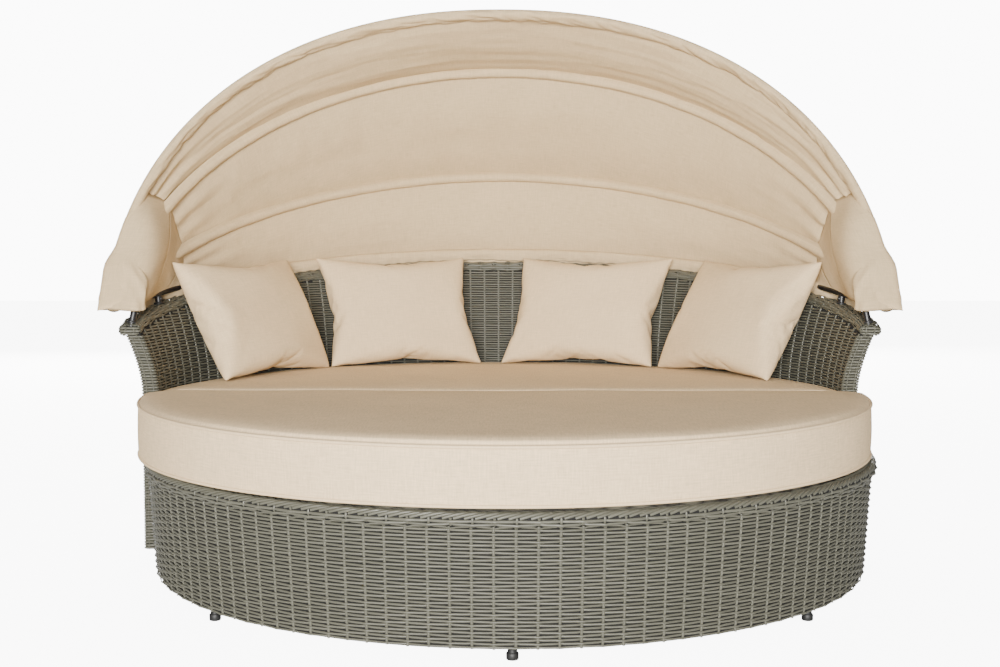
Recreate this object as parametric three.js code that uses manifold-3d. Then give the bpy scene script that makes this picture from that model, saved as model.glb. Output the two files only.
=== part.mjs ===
// Round outdoor daybed in two half discs: a sofa half with a wicker back and a
// folding canopy, and an ottoman half that pulls away to the front.
// Millimetres, +X to the right, +Y to the back, +Z up, standing on z = 0.
import * as THREE from "three";
import Module from "manifold-3d";
import { mergeVertices } from "three/addons/utils/BufferGeometryUtils.js";

const wasm = await Module();
wasm.setup();

// Driving dimensions.

const fit = { touch: 0.3, overrun: 20 };
const split = { gap: 0.3 };

const foot = { radius: 12.5, height: 30, inset: 14 };
const bar = { width: 20, height: 20 };
const beam = { width: 18, height: 14, drop: 2 };
const skin = { thickness: 6, bottom: 24 };
const facePanel = { thickness: 8 };
const deck = { thickness: 12, top: 300 };

const wall = {
  radius: 908,
  thickness: 45,
  flareFrom: 430,
  flare: 50,
  flareCurve: 1.6,
  frontTop: 596,
  backTop: 740,
  topCurve: 0.8,
};
const rim = { height: 26, bulge: 7 };
const hoop = { radius: 9, drop: 26 };

const ottoman = {
  insideWall: 38,
  flare: 16,
  rollBulge: 12,
  rollHeight: 36,
  sideShift: 24,
};

const cushion = {
  overhang: 2,
  frontSideShift: 11,
  wallGap: 3,
  thickness: 128,
  crown: 8,
  corner: 26,
  piping: 5,
};

const pillow = {
  width: 470,
  height: 360,
  thickness: 132,
  edge: 6,
  wallGap: 1.5,
};
const pillowTurns = {
  outer: { yawAngle: 62, leanAngle: 23 },
  inner: { yawAngle: 17, leanAngle: 21 },
};
const pillowSpacingShares = { inner: 0.56, outer: 0.96 };

const bow = { tubeRadius: 9.5, hubRadius: 13, hubWidth: 20, hubGap: 2, boltRadius: 4 };
const pivot = { setBack: 30, aboveArm: 59 };
const bowShapes = {
  front: { beyondWall: 11, power: 2.2, liftAngle: 60 },
  middle: { beyondWall: 38, power: 2.0, liftAngle: 44 },
  rear: { beyondWall: 42, power: 1.9, liftAngle: 22 },
};
const rail = { tubeRadius: 9.5, inset: 22, tuck: 10, swing: 114, backClear: 30, riseCurve: 1.3 };
const post = { radius: 9, frontBearing: 12, backBearing: 58 };
const knob = { radius: 15, length: 7 };

const cloth = {
  thickness: 3,
  ease: 1.8,
  sag: 22,
  slack: 4,
  skirtOut: 24,
  seamGap: 4,
};

// Derived places.

const faceY = split.gap / 2;
const wallCentreY = faceY + facePanel.thickness + fit.touch;
const ottomanCentreY = -wallCentreY;
const frameBottom = foot.height;
const deckBottom = deck.top - deck.thickness;
const frameTop = deckBottom - fit.touch;
const innerRadius = wall.radius - wall.thickness;
const rimRadius = wall.radius + wall.flare;
const ottomanBottomRadius = wall.radius - ottoman.insideWall;
const ottomanTopRadius = ottomanBottomRadius + ottoman.flare;
const rollRadius = ottomanTopRadius + ottoman.rollBulge;
const railPlan = rimRadius - rail.inset;
const railHubX = railPlan - rail.tuck;
const pivotZ = wall.frontTop + pivot.aboveArm;

const radians = (degrees) => THREE.MathUtils.degToRad(degrees);
const mix = THREE.MathUtils.lerp;
const arcCount = 36;
const steps = (count) => Array.from({ length: count + 1 }, (_, i) => i / count);

// Materials.

function finish(color, roughness, metalness) {
  return new THREE.MeshStandardMaterial({ color, roughness, metalness });
}

const wicker = finish(0x7a7869, 0.7, 0);
const braid = finish(0x85836f, 0.7, 0);
const strap = finish(0x4c4a42, 0.8, 0);
const frameMetal = finish(0x2b2b2b, 0.45, 0.8);
const blackMetal = finish(0x161616, 0.4, 0.7);
const glide = finish(0x101010, 0.6, 0);
const seatFabric = finish(0xcfc0a8, 0.95, 0);
const pillowFabric = finish(0xdccdb9, 0.95, 0);
const canopyFabric = finish(0xd4c2aa, 0.95, 0);

// Solid builders.

function signedVolume(points, faces) {
  const cross = new THREE.Vector3();
  return faces.reduce((sum, [a, b, c]) => {
    cross.crossVectors(points[b], points[c]);
    return sum + points[a].dot(cross) / 6;
  }, 0);
}

function geometryOf(points, faces) {
  const outward = signedVolume(points, faces) > 0;
  const turned = outward ? faces : faces.map(([a, b, c]) => [a, c, b]);
  const geometry = new THREE.BufferGeometry().setFromPoints(points);
  geometry.setIndex(turned.flat());
  geometry.computeVertexNormals();
  return geometry;
}

// Triangles that close a ring lying in or near one plane.
function capOf(ring) {
  const normal = new THREE.Vector3();
  ring.forEach((p, i) => {
    const q = ring[(i + 1) % ring.length];
    normal.x += (p.y - q.y) * (p.z + q.z);
    normal.y += (p.z - q.z) * (p.x + q.x);
    normal.z += (p.x - q.x) * (p.y + q.y);
  });
  const turn = new THREE.Quaternion().setFromUnitVectors(normal.normalize(), new THREE.Vector3(0, 0, 1));
  const flat = ring.map((p) => {
    const q = p.clone().applyQuaternion(turn);
    return new THREE.Vector2(q.x, q.y);
  });
  return THREE.ShapeUtils.triangulateShape(flat, []);
}

// Skin over a row of closed rings of equal point count, closed at both ends.
function loft(rings) {
  const count = rings[0].length;
  const points = rings.flat();
  const faces = [];
  for (let k = 0; k + 1 < rings.length; k += 1) {
    for (let i = 0; i < count; i += 1) {
      const a = k * count + i;
      const b = k * count + ((i + 1) % count);
      faces.push([a, b, a + count], [b, b + count, a + count]);
    }
  }
  const last = (rings.length - 1) * count;
  capOf(rings[0]).forEach(([a, b, c]) => faces.push([a, c, b]));
  capOf(rings.at(-1)).forEach(([a, b, c]) => faces.push([last + a, last + b, last + c]));
  return geometryOf(points, faces);
}

function solidOf(geometry) {
  const bare = geometry.clone();
  bare.deleteAttribute("normal");
  bare.deleteAttribute("uv");
  const merged = mergeVertices(bare);
  return new wasm.Manifold(
    new wasm.Mesh({
      numProp: 3,
      vertProperties: new Float32Array(merged.attributes.position.array),
      triVerts: new Uint32Array(merged.index.array),
    }),
  );
}

function geometryOfSolid(solid) {
  const { vertProperties, triVerts, numProp } = solid.getMesh();
  const geometry = new THREE.BufferGeometry();
  const places = [];
  for (let i = 0; i < vertProperties.length; i += numProp) {
    places.push(vertProperties[i], vertProperties[i + 1], vertProperties[i + 2]);
  }
  geometry.setAttribute("position", new THREE.Float32BufferAttribute(places, 3));
  geometry.setIndex(Array.from(triVerts));
  geometry.computeVertexNormals();
  return geometry;
}

const joined = (geometries) => geometries.map(solidOf).reduce((whole, piece) => whole.add(piece));

function box(width, depth, height, x, y, z) {
  return new THREE.BoxGeometry(width, depth, height).translate(x, y, z + height / 2);
}

function cylinderAlongX(radius, width, x, y, z, sides = 16) {
  return new THREE.CylinderGeometry(radius, radius, width, sides).rotateZ(Math.PI / 2).translate(x, y, z);
}

class PathCurve extends THREE.Curve {
  constructor(place) {
    super();
    this.place = place;
  }

  getPoint(t, target = new THREE.Vector3()) {
    return target.copy(this.place(t));
  }
}

function tube(place, radius, count, sides = 8) {
  const section = new THREE.Shape();
  section.absarc(0, 0, radius, 0, 2 * Math.PI, false);
  return new THREE.ExtrudeGeometry(section, {
    steps: count,
    curveSegments: sides / 2,
    bevelEnabled: false,
    extrudePath: new PathCurve(place),
  });
}

const straight = (from, to) => (t) => new THREE.Vector3().lerpVectors(from, to, t);

// Half disc outline whose flat side lies at y = flatY.
function discOutline(radius, flatY, count) {
  const turn = Math.asin(flatY / radius);
  return steps(count).map((t) => {
    const angle = mix(turn, Math.PI - turn, t);
    return new THREE.Vector2(radius * Math.cos(angle), radius * Math.sin(angle));
  });
}

// Flat plate on the sofa half, or turned to the ottoman half.
function plateOf(shape, thickness, bottom, centreY) {
  const plate = new THREE.ExtrudeGeometry(shape, { depth: thickness, bevelEnabled: false });
  return plate.rotateZ(centreY < 0 ? Math.PI : 0).translate(0, centreY, bottom);
}

// D-shaped ring of square bar, its straight bar along y = centreY.
function barRing(outer, bottom, centreY) {
  const shape = new THREE.Shape(discOutline(outer, 0, arcCount));
  shape.holes.push(new THREE.Path(discOutline(outer - bar.width, bar.width, arcCount)));
  return plateOf(shape, bar.height, bottom, centreY);
}

function halfDisc(radius, thickness, bottom, centreY) {
  return plateOf(new THREE.Shape(discOutline(radius, 0, arcCount)), thickness, bottom, centreY);
}

// Sofa wall.

const seatTop = deck.top + fit.touch + cushion.thickness + cushion.crown;
const wallTop = (angle) => mix(wall.frontTop, wall.backTop, Math.sin(angle) ** wall.topCurve);

function wallOuter(angle, z) {
  const reach = wallTop(angle) - wall.flareFrom;
  const share = Math.max(0, z - wall.flareFrom) / reach;
  return wall.radius + wall.flare * share ** wall.flareCurve;
}

function wallPoint(angle, z, depth) {
  const radius = wallOuter(angle, z) - depth;
  return new THREE.Vector3(radius * Math.cos(angle), wallCentreY + radius * Math.sin(angle), z);
}

const flareShares = [0, 0.3, 0.55, 0.8, 1];

// Outer skin from the floor edge to the top, over it, and down to the deck.
function weaveRing(angle) {
  const top = wallTop(angle) - rim.height - fit.touch;
  const levels = flareShares.map((share) => mix(wall.flareFrom, top, share));
  const inside = wall.thickness - skin.thickness;
  const under = levels.slice(0, -1);
  return [
    wallPoint(angle, skin.bottom, 0),
    ...levels.map((z) => wallPoint(angle, z, 0)),
    ...levels.slice().reverse().map((z) => wallPoint(angle, z, wall.thickness)),
    wallPoint(angle, deck.top, wall.thickness),
    wallPoint(angle, deck.top, inside),
    ...under.map((z) => wallPoint(angle, z, inside)),
    wallPoint(angle, top - skin.thickness, inside),
    wallPoint(angle, top - skin.thickness, skin.thickness),
    ...under.slice().reverse().map((z) => wallPoint(angle, z, skin.thickness)),
    wallPoint(angle, skin.bottom, skin.thickness),
  ];
}

const sofaWeave = () => loft(steps(arcCount).map((t) => weaveRing(Math.PI * t)));

const rimTurns = steps(8).slice(0, -1);

// Rolled braid along the top edge, a little wider than the wall.
function rimRing(angle, grown) {
  const top = wallTop(angle);
  const middle = wall.thickness / 2;
  return rimTurns.map((t) => {
    const out = (middle + rim.bulge + grown) * Math.cos(2 * Math.PI * t);
    const up = (rim.height / 2 + grown) * Math.sin(2 * Math.PI * t);
    const place = wallPoint(angle, top, middle - out);
    place.z += up - rim.height / 2;
    return place;
  });
}

const sofaRim = (grown = 0) => loft(steps(arcCount).map((t) => rimRing(Math.PI * t, grown)));

// Woven end of each arm, following the flare up to the rolled edge.
function armEnd(side) {
  const top = wall.frontTop - rim.height - fit.touch;
  const levels = flareShares.map((share) => mix(wall.flareFrom, top, share));
  const outer = [skin.bottom, ...levels].map((z) => new THREE.Vector2(side * wallOuter(0, z), z));
  const inner = outer.slice().reverse().map((p) => new THREE.Vector2(p.x - side * wall.thickness, p.y));
  const face = new THREE.ExtrudeGeometry(new THREE.Shape([...outer, ...inner]), {
    depth: facePanel.thickness,
    bevelEnabled: false,
  });
  return face.rotateX(Math.PI / 2).translate(0, faceY + facePanel.thickness, 0);
}

function sofaFront() {
  const width = 2 * (innerRadius - fit.touch);
  const y = faceY + facePanel.thickness / 2;
  return box(width, facePanel.thickness, deckBottom - skin.bottom, 0, y, skin.bottom);
}

const uprightBearings = [3, 45, 90, 135, 177];
const beamShares = [-0.5, 0, 0.5];

const hoopDepth = wall.thickness / 2;

function hoopPoint(angle) {
  return wallPoint(angle, wallTop(angle) - rim.height - hoop.drop, hoopDepth);
}

function uprightPoint(bearing) {
  const angle = radians(bearing);
  const top = hoopPoint(angle).z;
  return (t) => wallPoint(angle, mix(frameBottom + hoop.radius, top, t), hoopDepth);
}

function sofaFrame() {
  const seatOuter = innerRadius - bar.width / 4;
  const lowOuter = wall.radius - hoopDepth + bar.width / 2;
  const hoopSpan = radians(uprightBearings[0]);
  const pieces = [
    barRing(lowOuter, frameBottom, wallCentreY),
    barRing(seatOuter, frameTop - bar.height, wallCentreY),
    tube((t) => hoopPoint(mix(hoopSpan, Math.PI - hoopSpan, t)), hoop.radius, 30),
    ...uprightBearings.map((bearing) => tube(uprightPoint(bearing), hoop.radius, 6)),
    ...uprightBearings.map((bearing) => seatTie(bearing, seatOuter)),
    ...beamShares.map((share) => seatBeam(share * innerRadius, seatOuter, 1)),
  ];
  return geometryOfSolid(joined(pieces));
}

// Short bar from an upright of the back in to the seat ring.
function seatTie(bearing, seatOuter) {
  const from = seatOuter - bar.width / 2;
  const length = wall.radius - hoopDepth - from;
  const tie = new THREE.BoxGeometry(length, bar.width / 2, bar.height / 2);
  tie.translate(from + length / 2, 0, 0).rotateZ(radians(bearing));
  return tie.translate(0, wallCentreY, frameTop - bar.height / 2);
}

// Bar running back under the deck from the front rail to the seat ring.
function seatBeam(x, seatOuter, side) {
  const reach = Math.sqrt((seatOuter - bar.width / 2) ** 2 - x ** 2);
  const start = bar.width / 2;
  const y = wallCentreY + (start + reach) / 2;
  return box(beam.width, reach - start, beam.height, x, side * y, frameTop - beam.drop - beam.height);
}

const sofaDeck = () => halfDisc(innerRadius - fit.touch, deck.thickness, deckBottom, wallCentreY);

// Ottoman.

const rollBottom = deck.top - ottoman.rollHeight;

function ottomanPoint(angle, radius, z) {
  return new THREE.Vector3(radius * Math.cos(angle), ottomanCentreY - radius * Math.sin(angle), z);
}

function ottomanRing(angle) {
  const top = rollBottom - fit.touch;
  return [
    ottomanPoint(angle, ottomanBottomRadius, skin.bottom),
    ottomanPoint(angle, ottomanTopRadius, top),
    ottomanPoint(angle, ottomanTopRadius - skin.thickness, top),
    ottomanPoint(angle, ottomanBottomRadius - skin.thickness, skin.bottom),
  ];
}

const ottomanWeave = () => loft(steps(arcCount).map((t) => ottomanRing(Math.PI * t)));

function rollRing(angle) {
  const half = (rollRadius - deckEdge) / 2;
  return rimTurns.map((t) => ottomanPoint(
    angle,
    rollRadius - half + half * Math.cos(2 * Math.PI * t),
    deck.top - (ottoman.rollHeight / 2) * (1 - Math.sin(2 * Math.PI * t)),
  ));
}

const deckEdge = ottomanBottomRadius - skin.thickness;
const ottomanRoll = () => loft(steps(arcCount).map((t) => rollRing(Math.PI * t)));

function ottomanBack() {
  const width = 2 * (deckEdge - fit.touch);
  const y = ottomanCentreY + fit.touch + facePanel.thickness / 2;
  return box(width, facePanel.thickness, deck.top - skin.bottom, 0, y, skin.bottom);
}

function ottomanPost(bearing, outer) {
  const radius = outer - bar.width / 2;
  const angle = radians(bearing);
  const height = frameTop - frameBottom - bar.height;
  const corner = new THREE.BoxGeometry(beam.width, beam.width, height).rotateZ(-angle);
  return corner.translate(
    radius * Math.cos(angle),
    ottomanCentreY - radius * Math.sin(angle),
    (frameBottom + frameTop) / 2,
  );
}

const ottomanPostBearings = [4, 45, 90, 135, 176];

function ottomanFrame() {
  const outer = deckEdge - fit.touch;
  const pieces = [
    barRing(outer, frameBottom, ottomanCentreY),
    barRing(outer, frameTop - bar.height, ottomanCentreY),
    ...ottomanPostBearings.map((bearing) => ottomanPost(bearing, outer)),
    ...beamShares.map((share) => seatBeam(share * innerRadius, outer, -1)),
  ];
  return geometryOfSolid(joined(pieces));
}

const ottomanDeck = () => halfDisc(deckEdge - 2 * fit.touch, deck.thickness, deckBottom, ottomanCentreY);

// Feet.

const footBearings = [8, 42, 90, 138, 172];

// Glide under the middle of the lower bar ring.
function footSolid(reach, centreY, side, bearing) {
  const angle = radians(bearing);
  const tall = foot.height - fit.touch;
  const leg = new THREE.CylinderGeometry(foot.radius, foot.radius, tall, 16).rotateX(Math.PI / 2);
  return leg.translate(reach * Math.cos(angle), centreY + side * reach * Math.sin(angle), tall / 2);
}

// Cushions.

// Half disc outline with rounded corners at the two ends of its flat side.
function cushionOutline(radius, corner, arcCount, cornerCount) {
  const inner = radius - corner;
  const turn = Math.asin(corner / inner);
  const ends = new THREE.Vector2(inner * Math.cos(turn), corner);
  const arcs = [];
  steps(cornerCount).forEach((t) => {
    const angle = mix(-Math.PI / 2, turn, t);
    arcs.push(new THREE.Vector2(ends.x + corner * Math.cos(angle), ends.y + corner * Math.sin(angle)));
  });
  steps(arcCount).slice(1, -1).forEach((t) => {
    const angle = mix(turn, Math.PI - turn, t);
    arcs.push(new THREE.Vector2(radius * Math.cos(angle), radius * Math.sin(angle)));
  });
  steps(cornerCount).forEach((t) => {
    const angle = mix(Math.PI - turn, 1.5 * Math.PI, t);
    arcs.push(new THREE.Vector2(-ends.x + corner * Math.cos(angle), ends.y + corner * Math.sin(angle)));
  });
  return arcs;
}

const crownShares = [
  { inset: 0.025, rise: 0.5 },
  { inset: 0.06, rise: 1 },
];

// Box cushion: flat below, piped at both edges, drawn in beside the piping,
// with a low crown on top.
function cushionSolid(radius, centreX, centreY, side) {
  const outline = cushionOutline(radius, cushion.corner, 36, 3);
  const middle = new THREE.Vector2(0, (4 * radius) / (3 * Math.PI));
  const pipe = cushion.piping;
  const bottom = deck.top + fit.touch;
  const top = bottom + cushion.thickness;
  const profile = [
    [3 * pipe, bottom],
    [pipe / 2, bottom + pipe / 4],
    [0, bottom + pipe],
    [0.8 * pipe, bottom + 2 * pipe],
    [pipe / 4, (bottom + top) / 2],
    [0.8 * pipe, top - 2 * pipe],
    [0, top - pipe],
    [pipe / 2, top - pipe / 4],
    [2 * pipe, top],
    ...crownShares.map(({ inset, rise }) => [inset * radius, top + rise * cushion.crown]),
  ];
  const rings = profile.map(([inset, z]) => {
    const scale = 1 - inset / radius;
    return outline.map((p) => {
      const q = p.clone().sub(middle).multiplyScalar(scale).add(middle);
      return new THREE.Vector3(centreX + q.x, centreY + side * q.y, z);
    });
  });
  return loft(rings);
}

// Pillows.

const pillowGrid = { across: 12, up: 10 };
const drawnInShare = 0.06;

// Knife-edged square pillow standing on its lower edge, front facing -Y.
function pillowSolid() {
  const { width, height, thickness, edge } = pillow;
  const place = (u, v, face) => {
    const fullness = ((1 - u ** 4) * (1 - v ** 4)) ** 0.6;
    const x = (width / 2) * u * (1 - drawnInShare * (1 - v * v));
    const z = (height / 2) * v * (1 - drawnInShare * (1 - u * u));
    return new THREE.Vector3(x, (face * mix(edge, thickness, fullness)) / 2, z);
  };
  const columns = steps(pillowGrid.across).map((t) => 2 * t - 1);
  const rows = steps(pillowGrid.up).map((t) => 2 * t - 1);
  const rings = columns.map((u) => [
    ...rows.map((v) => place(u, v, -1)),
    ...rows.slice().reverse().map((v) => place(u, v, 1)),
  ]);
  return loft(rings);
}

// Distance along a bearing at which a pillow comes up to the back rest.
function reachToWall(body, angle) {
  const places = body.attributes.position;
  const reaches = Array.from({ length: places.count }, (_, i) => {
    const z = Math.min(places.getZ(i), wallTop(angle));
    const limit = wallOuter(angle, z) - wall.thickness - rim.bulge - pillow.wallGap;
    const x = places.getX(i);
    const y = places.getY(i) - wallCentreY;
    const along = x * Math.cos(angle) + y * Math.sin(angle);
    return Math.sqrt(along ** 2 - x ** 2 - y ** 2 + limit ** 2) - along;
  });
  return Math.min(...reaches);
}

// Angle that a pillow's width takes up in front of the back rest.
const pillowSpan = 2 * Math.asin(pillow.width / 2 / (innerRadius - pillow.thickness));
const innerBearing = Math.PI / 2 - pillowSpacingShares.inner * pillowSpan;
const pillowBearings = {
  inner: innerBearing,
  outer: innerBearing - pillowSpacingShares.outer * pillowSpan,
};

function pillowPlaced(kind, side) {
  const { yawAngle, leanAngle } = pillowTurns[kind];
  const angle = side > 0 ? pillowBearings[kind] : Math.PI - pillowBearings[kind];
  const tilt = radians(leanAngle);
  const body = pillowSolid().rotateX(-tilt);
  body.computeBoundingBox();
  body.translate(0, (pillow.height / 2) * Math.sin(tilt), seatTop + fit.touch - body.boundingBox.min.z);
  body.rotateZ(-side * radians(yawAngle));
  const reach = reachToWall(body, angle);
  return body.translate(reach * Math.cos(angle), reach * Math.sin(angle), 0);
}

// Canopy metalwork.

const bowOrder = ["front", "middle", "rear", "rail"];
const hubPitch = bow.hubWidth + bow.hubGap;
const hubX = (name) => railHubX + hubPitch * (bowOrder.length - 1 - bowOrder.indexOf(name));
const outerHubX = hubX(bowOrder[0]);

// Half of a flattened loop that stands on both pivots and leans back.
function bowPoint(name, t, out = 0) {
  const { beyondWall, power, liftAngle } = bowShapes[name];
  const reach = wall.radius + beyondWall;
  const angle = Math.PI * t;
  const across = Math.cos(angle);
  const half = hubX(name);
  const x = Math.sign(across) * Math.abs(across) ** (2 / power) * (half + out);
  const along = Math.max(0, Math.sin(angle)) ** (2 / power) * (reach + out);
  const tilt = radians(liftAngle);
  return new THREE.Vector3(x, pivot.setBack + along * Math.cos(tilt), pivotZ + along * Math.sin(tilt));
}

function hubs(half, sign) {
  return cylinderAlongX(bow.hubRadius, bow.hubWidth, sign * half, pivot.setBack, pivotZ);
}

function bores(half, sign) {
  const length = bow.hubWidth + fit.overrun;
  return cylinderAlongX(bow.boltRadius + fit.touch, length, sign * half, pivot.setBack, pivotZ);
}

function bowSolid(name) {
  const half = hubX(name);
  const whole = joined([
    tube((t) => bowPoint(name, t), bow.tubeRadius, 28),
    hubs(half, 1),
    hubs(half, -1),
  ]);
  const cut = whole.subtract(solidOf(bores(half, 1))).subtract(solidOf(bores(half, -1)));
  return geometryOfSolid(cut);
}

const railTop = wall.backTop + rail.backClear + rail.tubeRadius - rim.bulge;

// Fixed rail that follows the top of the back, swung out to the pivots.
function railPoint(t) {
  const angle = Math.PI * t;
  const fromEnd = (Math.min(angle, Math.PI - angle) * railPlan) / rail.swing;
  const swing = Math.exp(-(fromEnd ** 2));
  const radius = mix(railPlan, hubX("rail"), swing);
  const z = mix(pivotZ, railTop, Math.sin(angle) ** rail.riseCurve);
  const back = pivot.setBack + (radius - pivot.setBack + wallCentreY) * Math.sin(angle);
  return new THREE.Vector3(radius * Math.cos(angle), back, z);
}

function railSolid() {
  const half = hubX("rail");
  const whole = joined([tube(railPoint, rail.tubeRadius, 36), hubs(half, 1), hubs(half, -1)]);
  const cut = whole.subtract(solidOf(bores(half, 1))).subtract(solidOf(bores(half, -1)));
  return geometryOfSolid(cut);
}

function boltSolid(sign) {
  const inner = hubX("rail") - bow.hubWidth / 2 - fit.touch;
  const outer = outerHubX + bow.hubWidth / 2 + fit.touch;
  const shank = cylinderAlongX(bow.boltRadius, outer - inner + knob.length, 0, 0, 0, 16);
  const head = cylinderAlongX(2 * bow.boltRadius, knob.length, 0, 0, 0, 6);
  shank.translate(sign * (outer + inner) / 2, pivot.setBack, pivotZ);
  head.translate(sign * (inner - knob.length / 2), pivot.setBack, pivotZ);
  return geometryOfSolid(solidOf(shank).add(solidOf(head)));
}

function knobSolid(sign) {
  const from = outerHubX + bow.hubWidth / 2 + 2 * fit.touch;
  const x = sign * (from + knob.length / 2);
  const grip = solidOf(cylinderAlongX(knob.radius, knob.length, x, pivot.setBack, pivotZ, 10));
  const length = knob.length + fit.overrun;
  const hole = cylinderAlongX(bow.boltRadius + fit.touch, length, x, pivot.setBack, pivotZ);
  return geometryOfSolid(grip.subtract(solidOf(hole)));
}

// Foot of a strut or post, inside the rolled edge it is cut to fit.
function standOnRim(angle) {
  const place = wallPoint(angle, wallTop(angle), wall.thickness / 2);
  place.z -= rim.height / 2;
  return place;
}

function cutToFit(geometry, ...neighbours) {
  const start = solidOf(geometry);
  return geometryOfSolid(neighbours.reduce((solid, other) => solid.subtract(solidOf(other)), start));
}

const grownRail = () => tube(railPoint, rail.tubeRadius + fit.touch, 36);
const grownHub = (sign) => cylinderAlongX(
  bow.hubRadius + fit.touch,
  bow.hubWidth,
  sign * hubX("rail"),
  pivot.setBack,
  pivotZ,
);

// Strut from the front of each arm top out to the pivot.
function strutSolid(sign) {
  const from = standOnRim((post.radius + fit.touch) / wall.radius);
  from.x *= sign;
  const to = new THREE.Vector3(sign * hubX("rail"), pivot.setBack, pivotZ);
  const strut = tube(straight(from, to), post.radius, 1, 12);
  return cutToFit(strut, sofaRim(fit.touch), grownHub(sign), grownRail());
}

function postSolid(bearing) {
  const top = railPoint(bearing / 180);
  const from = standOnRim(Math.atan2(top.y - wallCentreY, top.x));
  const stand = tube(straight(from, top), post.radius, 1, 12);
  return cutToFit(stand, sofaRim(fit.touch), grownRail());
}

// Canopy cloth.

// A sleeve is sewn round each bow in flats that stay clear of the tube.
const sleeveTurns = [210, 150, 90, 30, -35];
const joinTurn = 30;
const halfFlat = radians((sleeveTurns[0] - sleeveTurns[1]) / 2);
const sleeveRadius = (bow.tubeRadius + cloth.ease) / Math.cos(halfFlat);
const panelRunShares = [0.14, 0.38, 0.62, 0.86];
const sideSeamShares = { front: 0.115, middle: 0.105, rear: 0.1, hem: 0.1 };

// Point round a bow, turned from straight out of the canopy towards the front.
function roundBow(name, t, radius, turn) {
  const step = 1 / 200;
  const place = bowPoint(name, t);
  const before = bowPoint(name, Math.max(0, t - step));
  const along = bowPoint(name, Math.min(1, t + step)).sub(before).normalize();
  const tilt = radians(bowShapes[name].liftAngle);
  const front = new THREE.Vector3(0, -Math.sin(tilt), Math.cos(tilt));
  const out = along.cross(front).normalize();
  const angle = radians(turn);
  return place
    .addScaledVector(out, radius * Math.cos(angle))
    .addScaledVector(front, radius * Math.sin(angle));
}

// Point outside the rail: level with it at hang 0, on the rolled edge at hang 1.
function besideRail(t, distance, hang) {
  const place = railPoint(t);
  const away = new THREE.Vector3(place.x, place.y - wallCentreY, 0);
  const low = wallTop(Math.atan2(away.y, away.x)) + 2 * fit.touch;
  place.addScaledVector(away.normalize(), distance);
  place.z = mix(place.z, low, hang);
  return place;
}

const hub = new THREE.Vector3(0, pivot.setBack, pivotZ);

// Places between two ends of the cloth, drawn in towards the canopy's middle.
function slackRun(from, to, drape) {
  return panelRunShares.map((run) => {
    const place = new THREE.Vector3().lerpVectors(from, to, run);
    const inward = hub.clone().sub(place).normalize();
    const dip = cloth.sag * 4 * run * (1 - run);
    const ripple = cloth.slack * Math.sin(4 * Math.PI * run);
    return place.addScaledVector(inward, drape * (dip + ripple));
  });
}

// One panel: a sleeve round its front bow, then the slack cloth, then its end.
function panelSolid(name, endPoints) {
  const edge = sideSeamShares[name];
  const rings = steps(24).map((t) => {
    const s = mix(edge, 1 - edge, t);
    const drape = Math.sin(Math.PI * mix(0.1, 0.9, t)) ** 0.5;
    const layer = (depth) => {
      const sleeve = sleeveTurns.map((turn) => roundBow(name, s, sleeveRadius + depth, turn));
      const ends = endPoints(t, depth);
      return [...sleeve, ...slackRun(sleeve.at(-1), ends[0], drape), ...ends];
    };
    return [...layer(cloth.thickness), ...layer(0).reverse()];
  });
  return loft(rings);
}

// Back edge of a panel, sewn on to the sleeve of the next bow.
function sewnTo(name) {
  const edge = sideSeamShares[name];
  const seat = sleeveRadius + cloth.thickness + fit.touch;
  return (t, depth) => [roundBow(name, mix(edge, 1 - edge, t), seat + depth, joinTurn)];
}

// Back edge of the rear panel, which hangs down outside the rail.
function hung(t, depth) {
  const edge = sideSeamShares.hem;
  const s = mix(edge, 1 - edge, t);
  const beside = rail.tubeRadius + cloth.ease + depth;
  return [besideRail(s, beside, 0), besideRail(s, beside, 1)];
}

// Point on the free hem of a side, from the pivot back to the rear hem.
function sideHem(t) {
  const flare = 1 - t / sideSeamShares.hem;
  const place = besideRail(t, rail.tubeRadius + cloth.ease, 1 - flare);
  place.x = mix(place.x, outerHubX + cloth.skirtOut, flare);
  return place;
}

// Side of the canopy, from the seam down over the pivots to the hem.
function canopySide(sign) {
  const seam = cloth.seamGap / (outerHubX * Math.PI);
  const onSleeve = (name) => roundBow(name, sideSeamShares[name] - seam, sleeveRadius, 0);
  const upper = new THREE.CatmullRomCurve3([
    ...["front", "middle", "rear"].map(onSleeve),
    besideRail(sideSeamShares.hem - seam, rail.tubeRadius + cloth.ease, 0),
  ]);
  const clearX = outerHubX + bow.hubWidth / 2 + 2 * knob.length;
  const runs = [0, ...panelRunShares, 1];
  const rings = steps(14).map((t) => {
    const top = upper.getPoint(t);
    const low = sideHem(mix(0, sideSeamShares.hem - seam, t));
    const layer = (depth) => runs.map((run) => {
      const place = new THREE.Vector3().lerpVectors(top, low, run);
      const onBow = roundBow("front", mix(sideSeamShares.front - seam, 0, run), sleeveRadius, 0);
      place.lerp(onBow, (1 - t) ** 4 * (1 - run));
      const over = Math.sin(Math.PI * run) * (1 - t);
      place.x = Math.max(place.x, mix(place.x, clearX, over)) + depth;
      place.x *= sign;
      return place;
    });
    return [...layer(cloth.thickness), ...layer(0).reverse()];
  });
  return loft(rings);
}

// Assembly.

function add(parent, name, geometry, material) {
  const mesh = new THREE.Mesh(geometry, material);
  mesh.name = name;
  parent.add(mesh);
  return mesh;
}

const sides = { left: -1, right: 1 };

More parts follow.
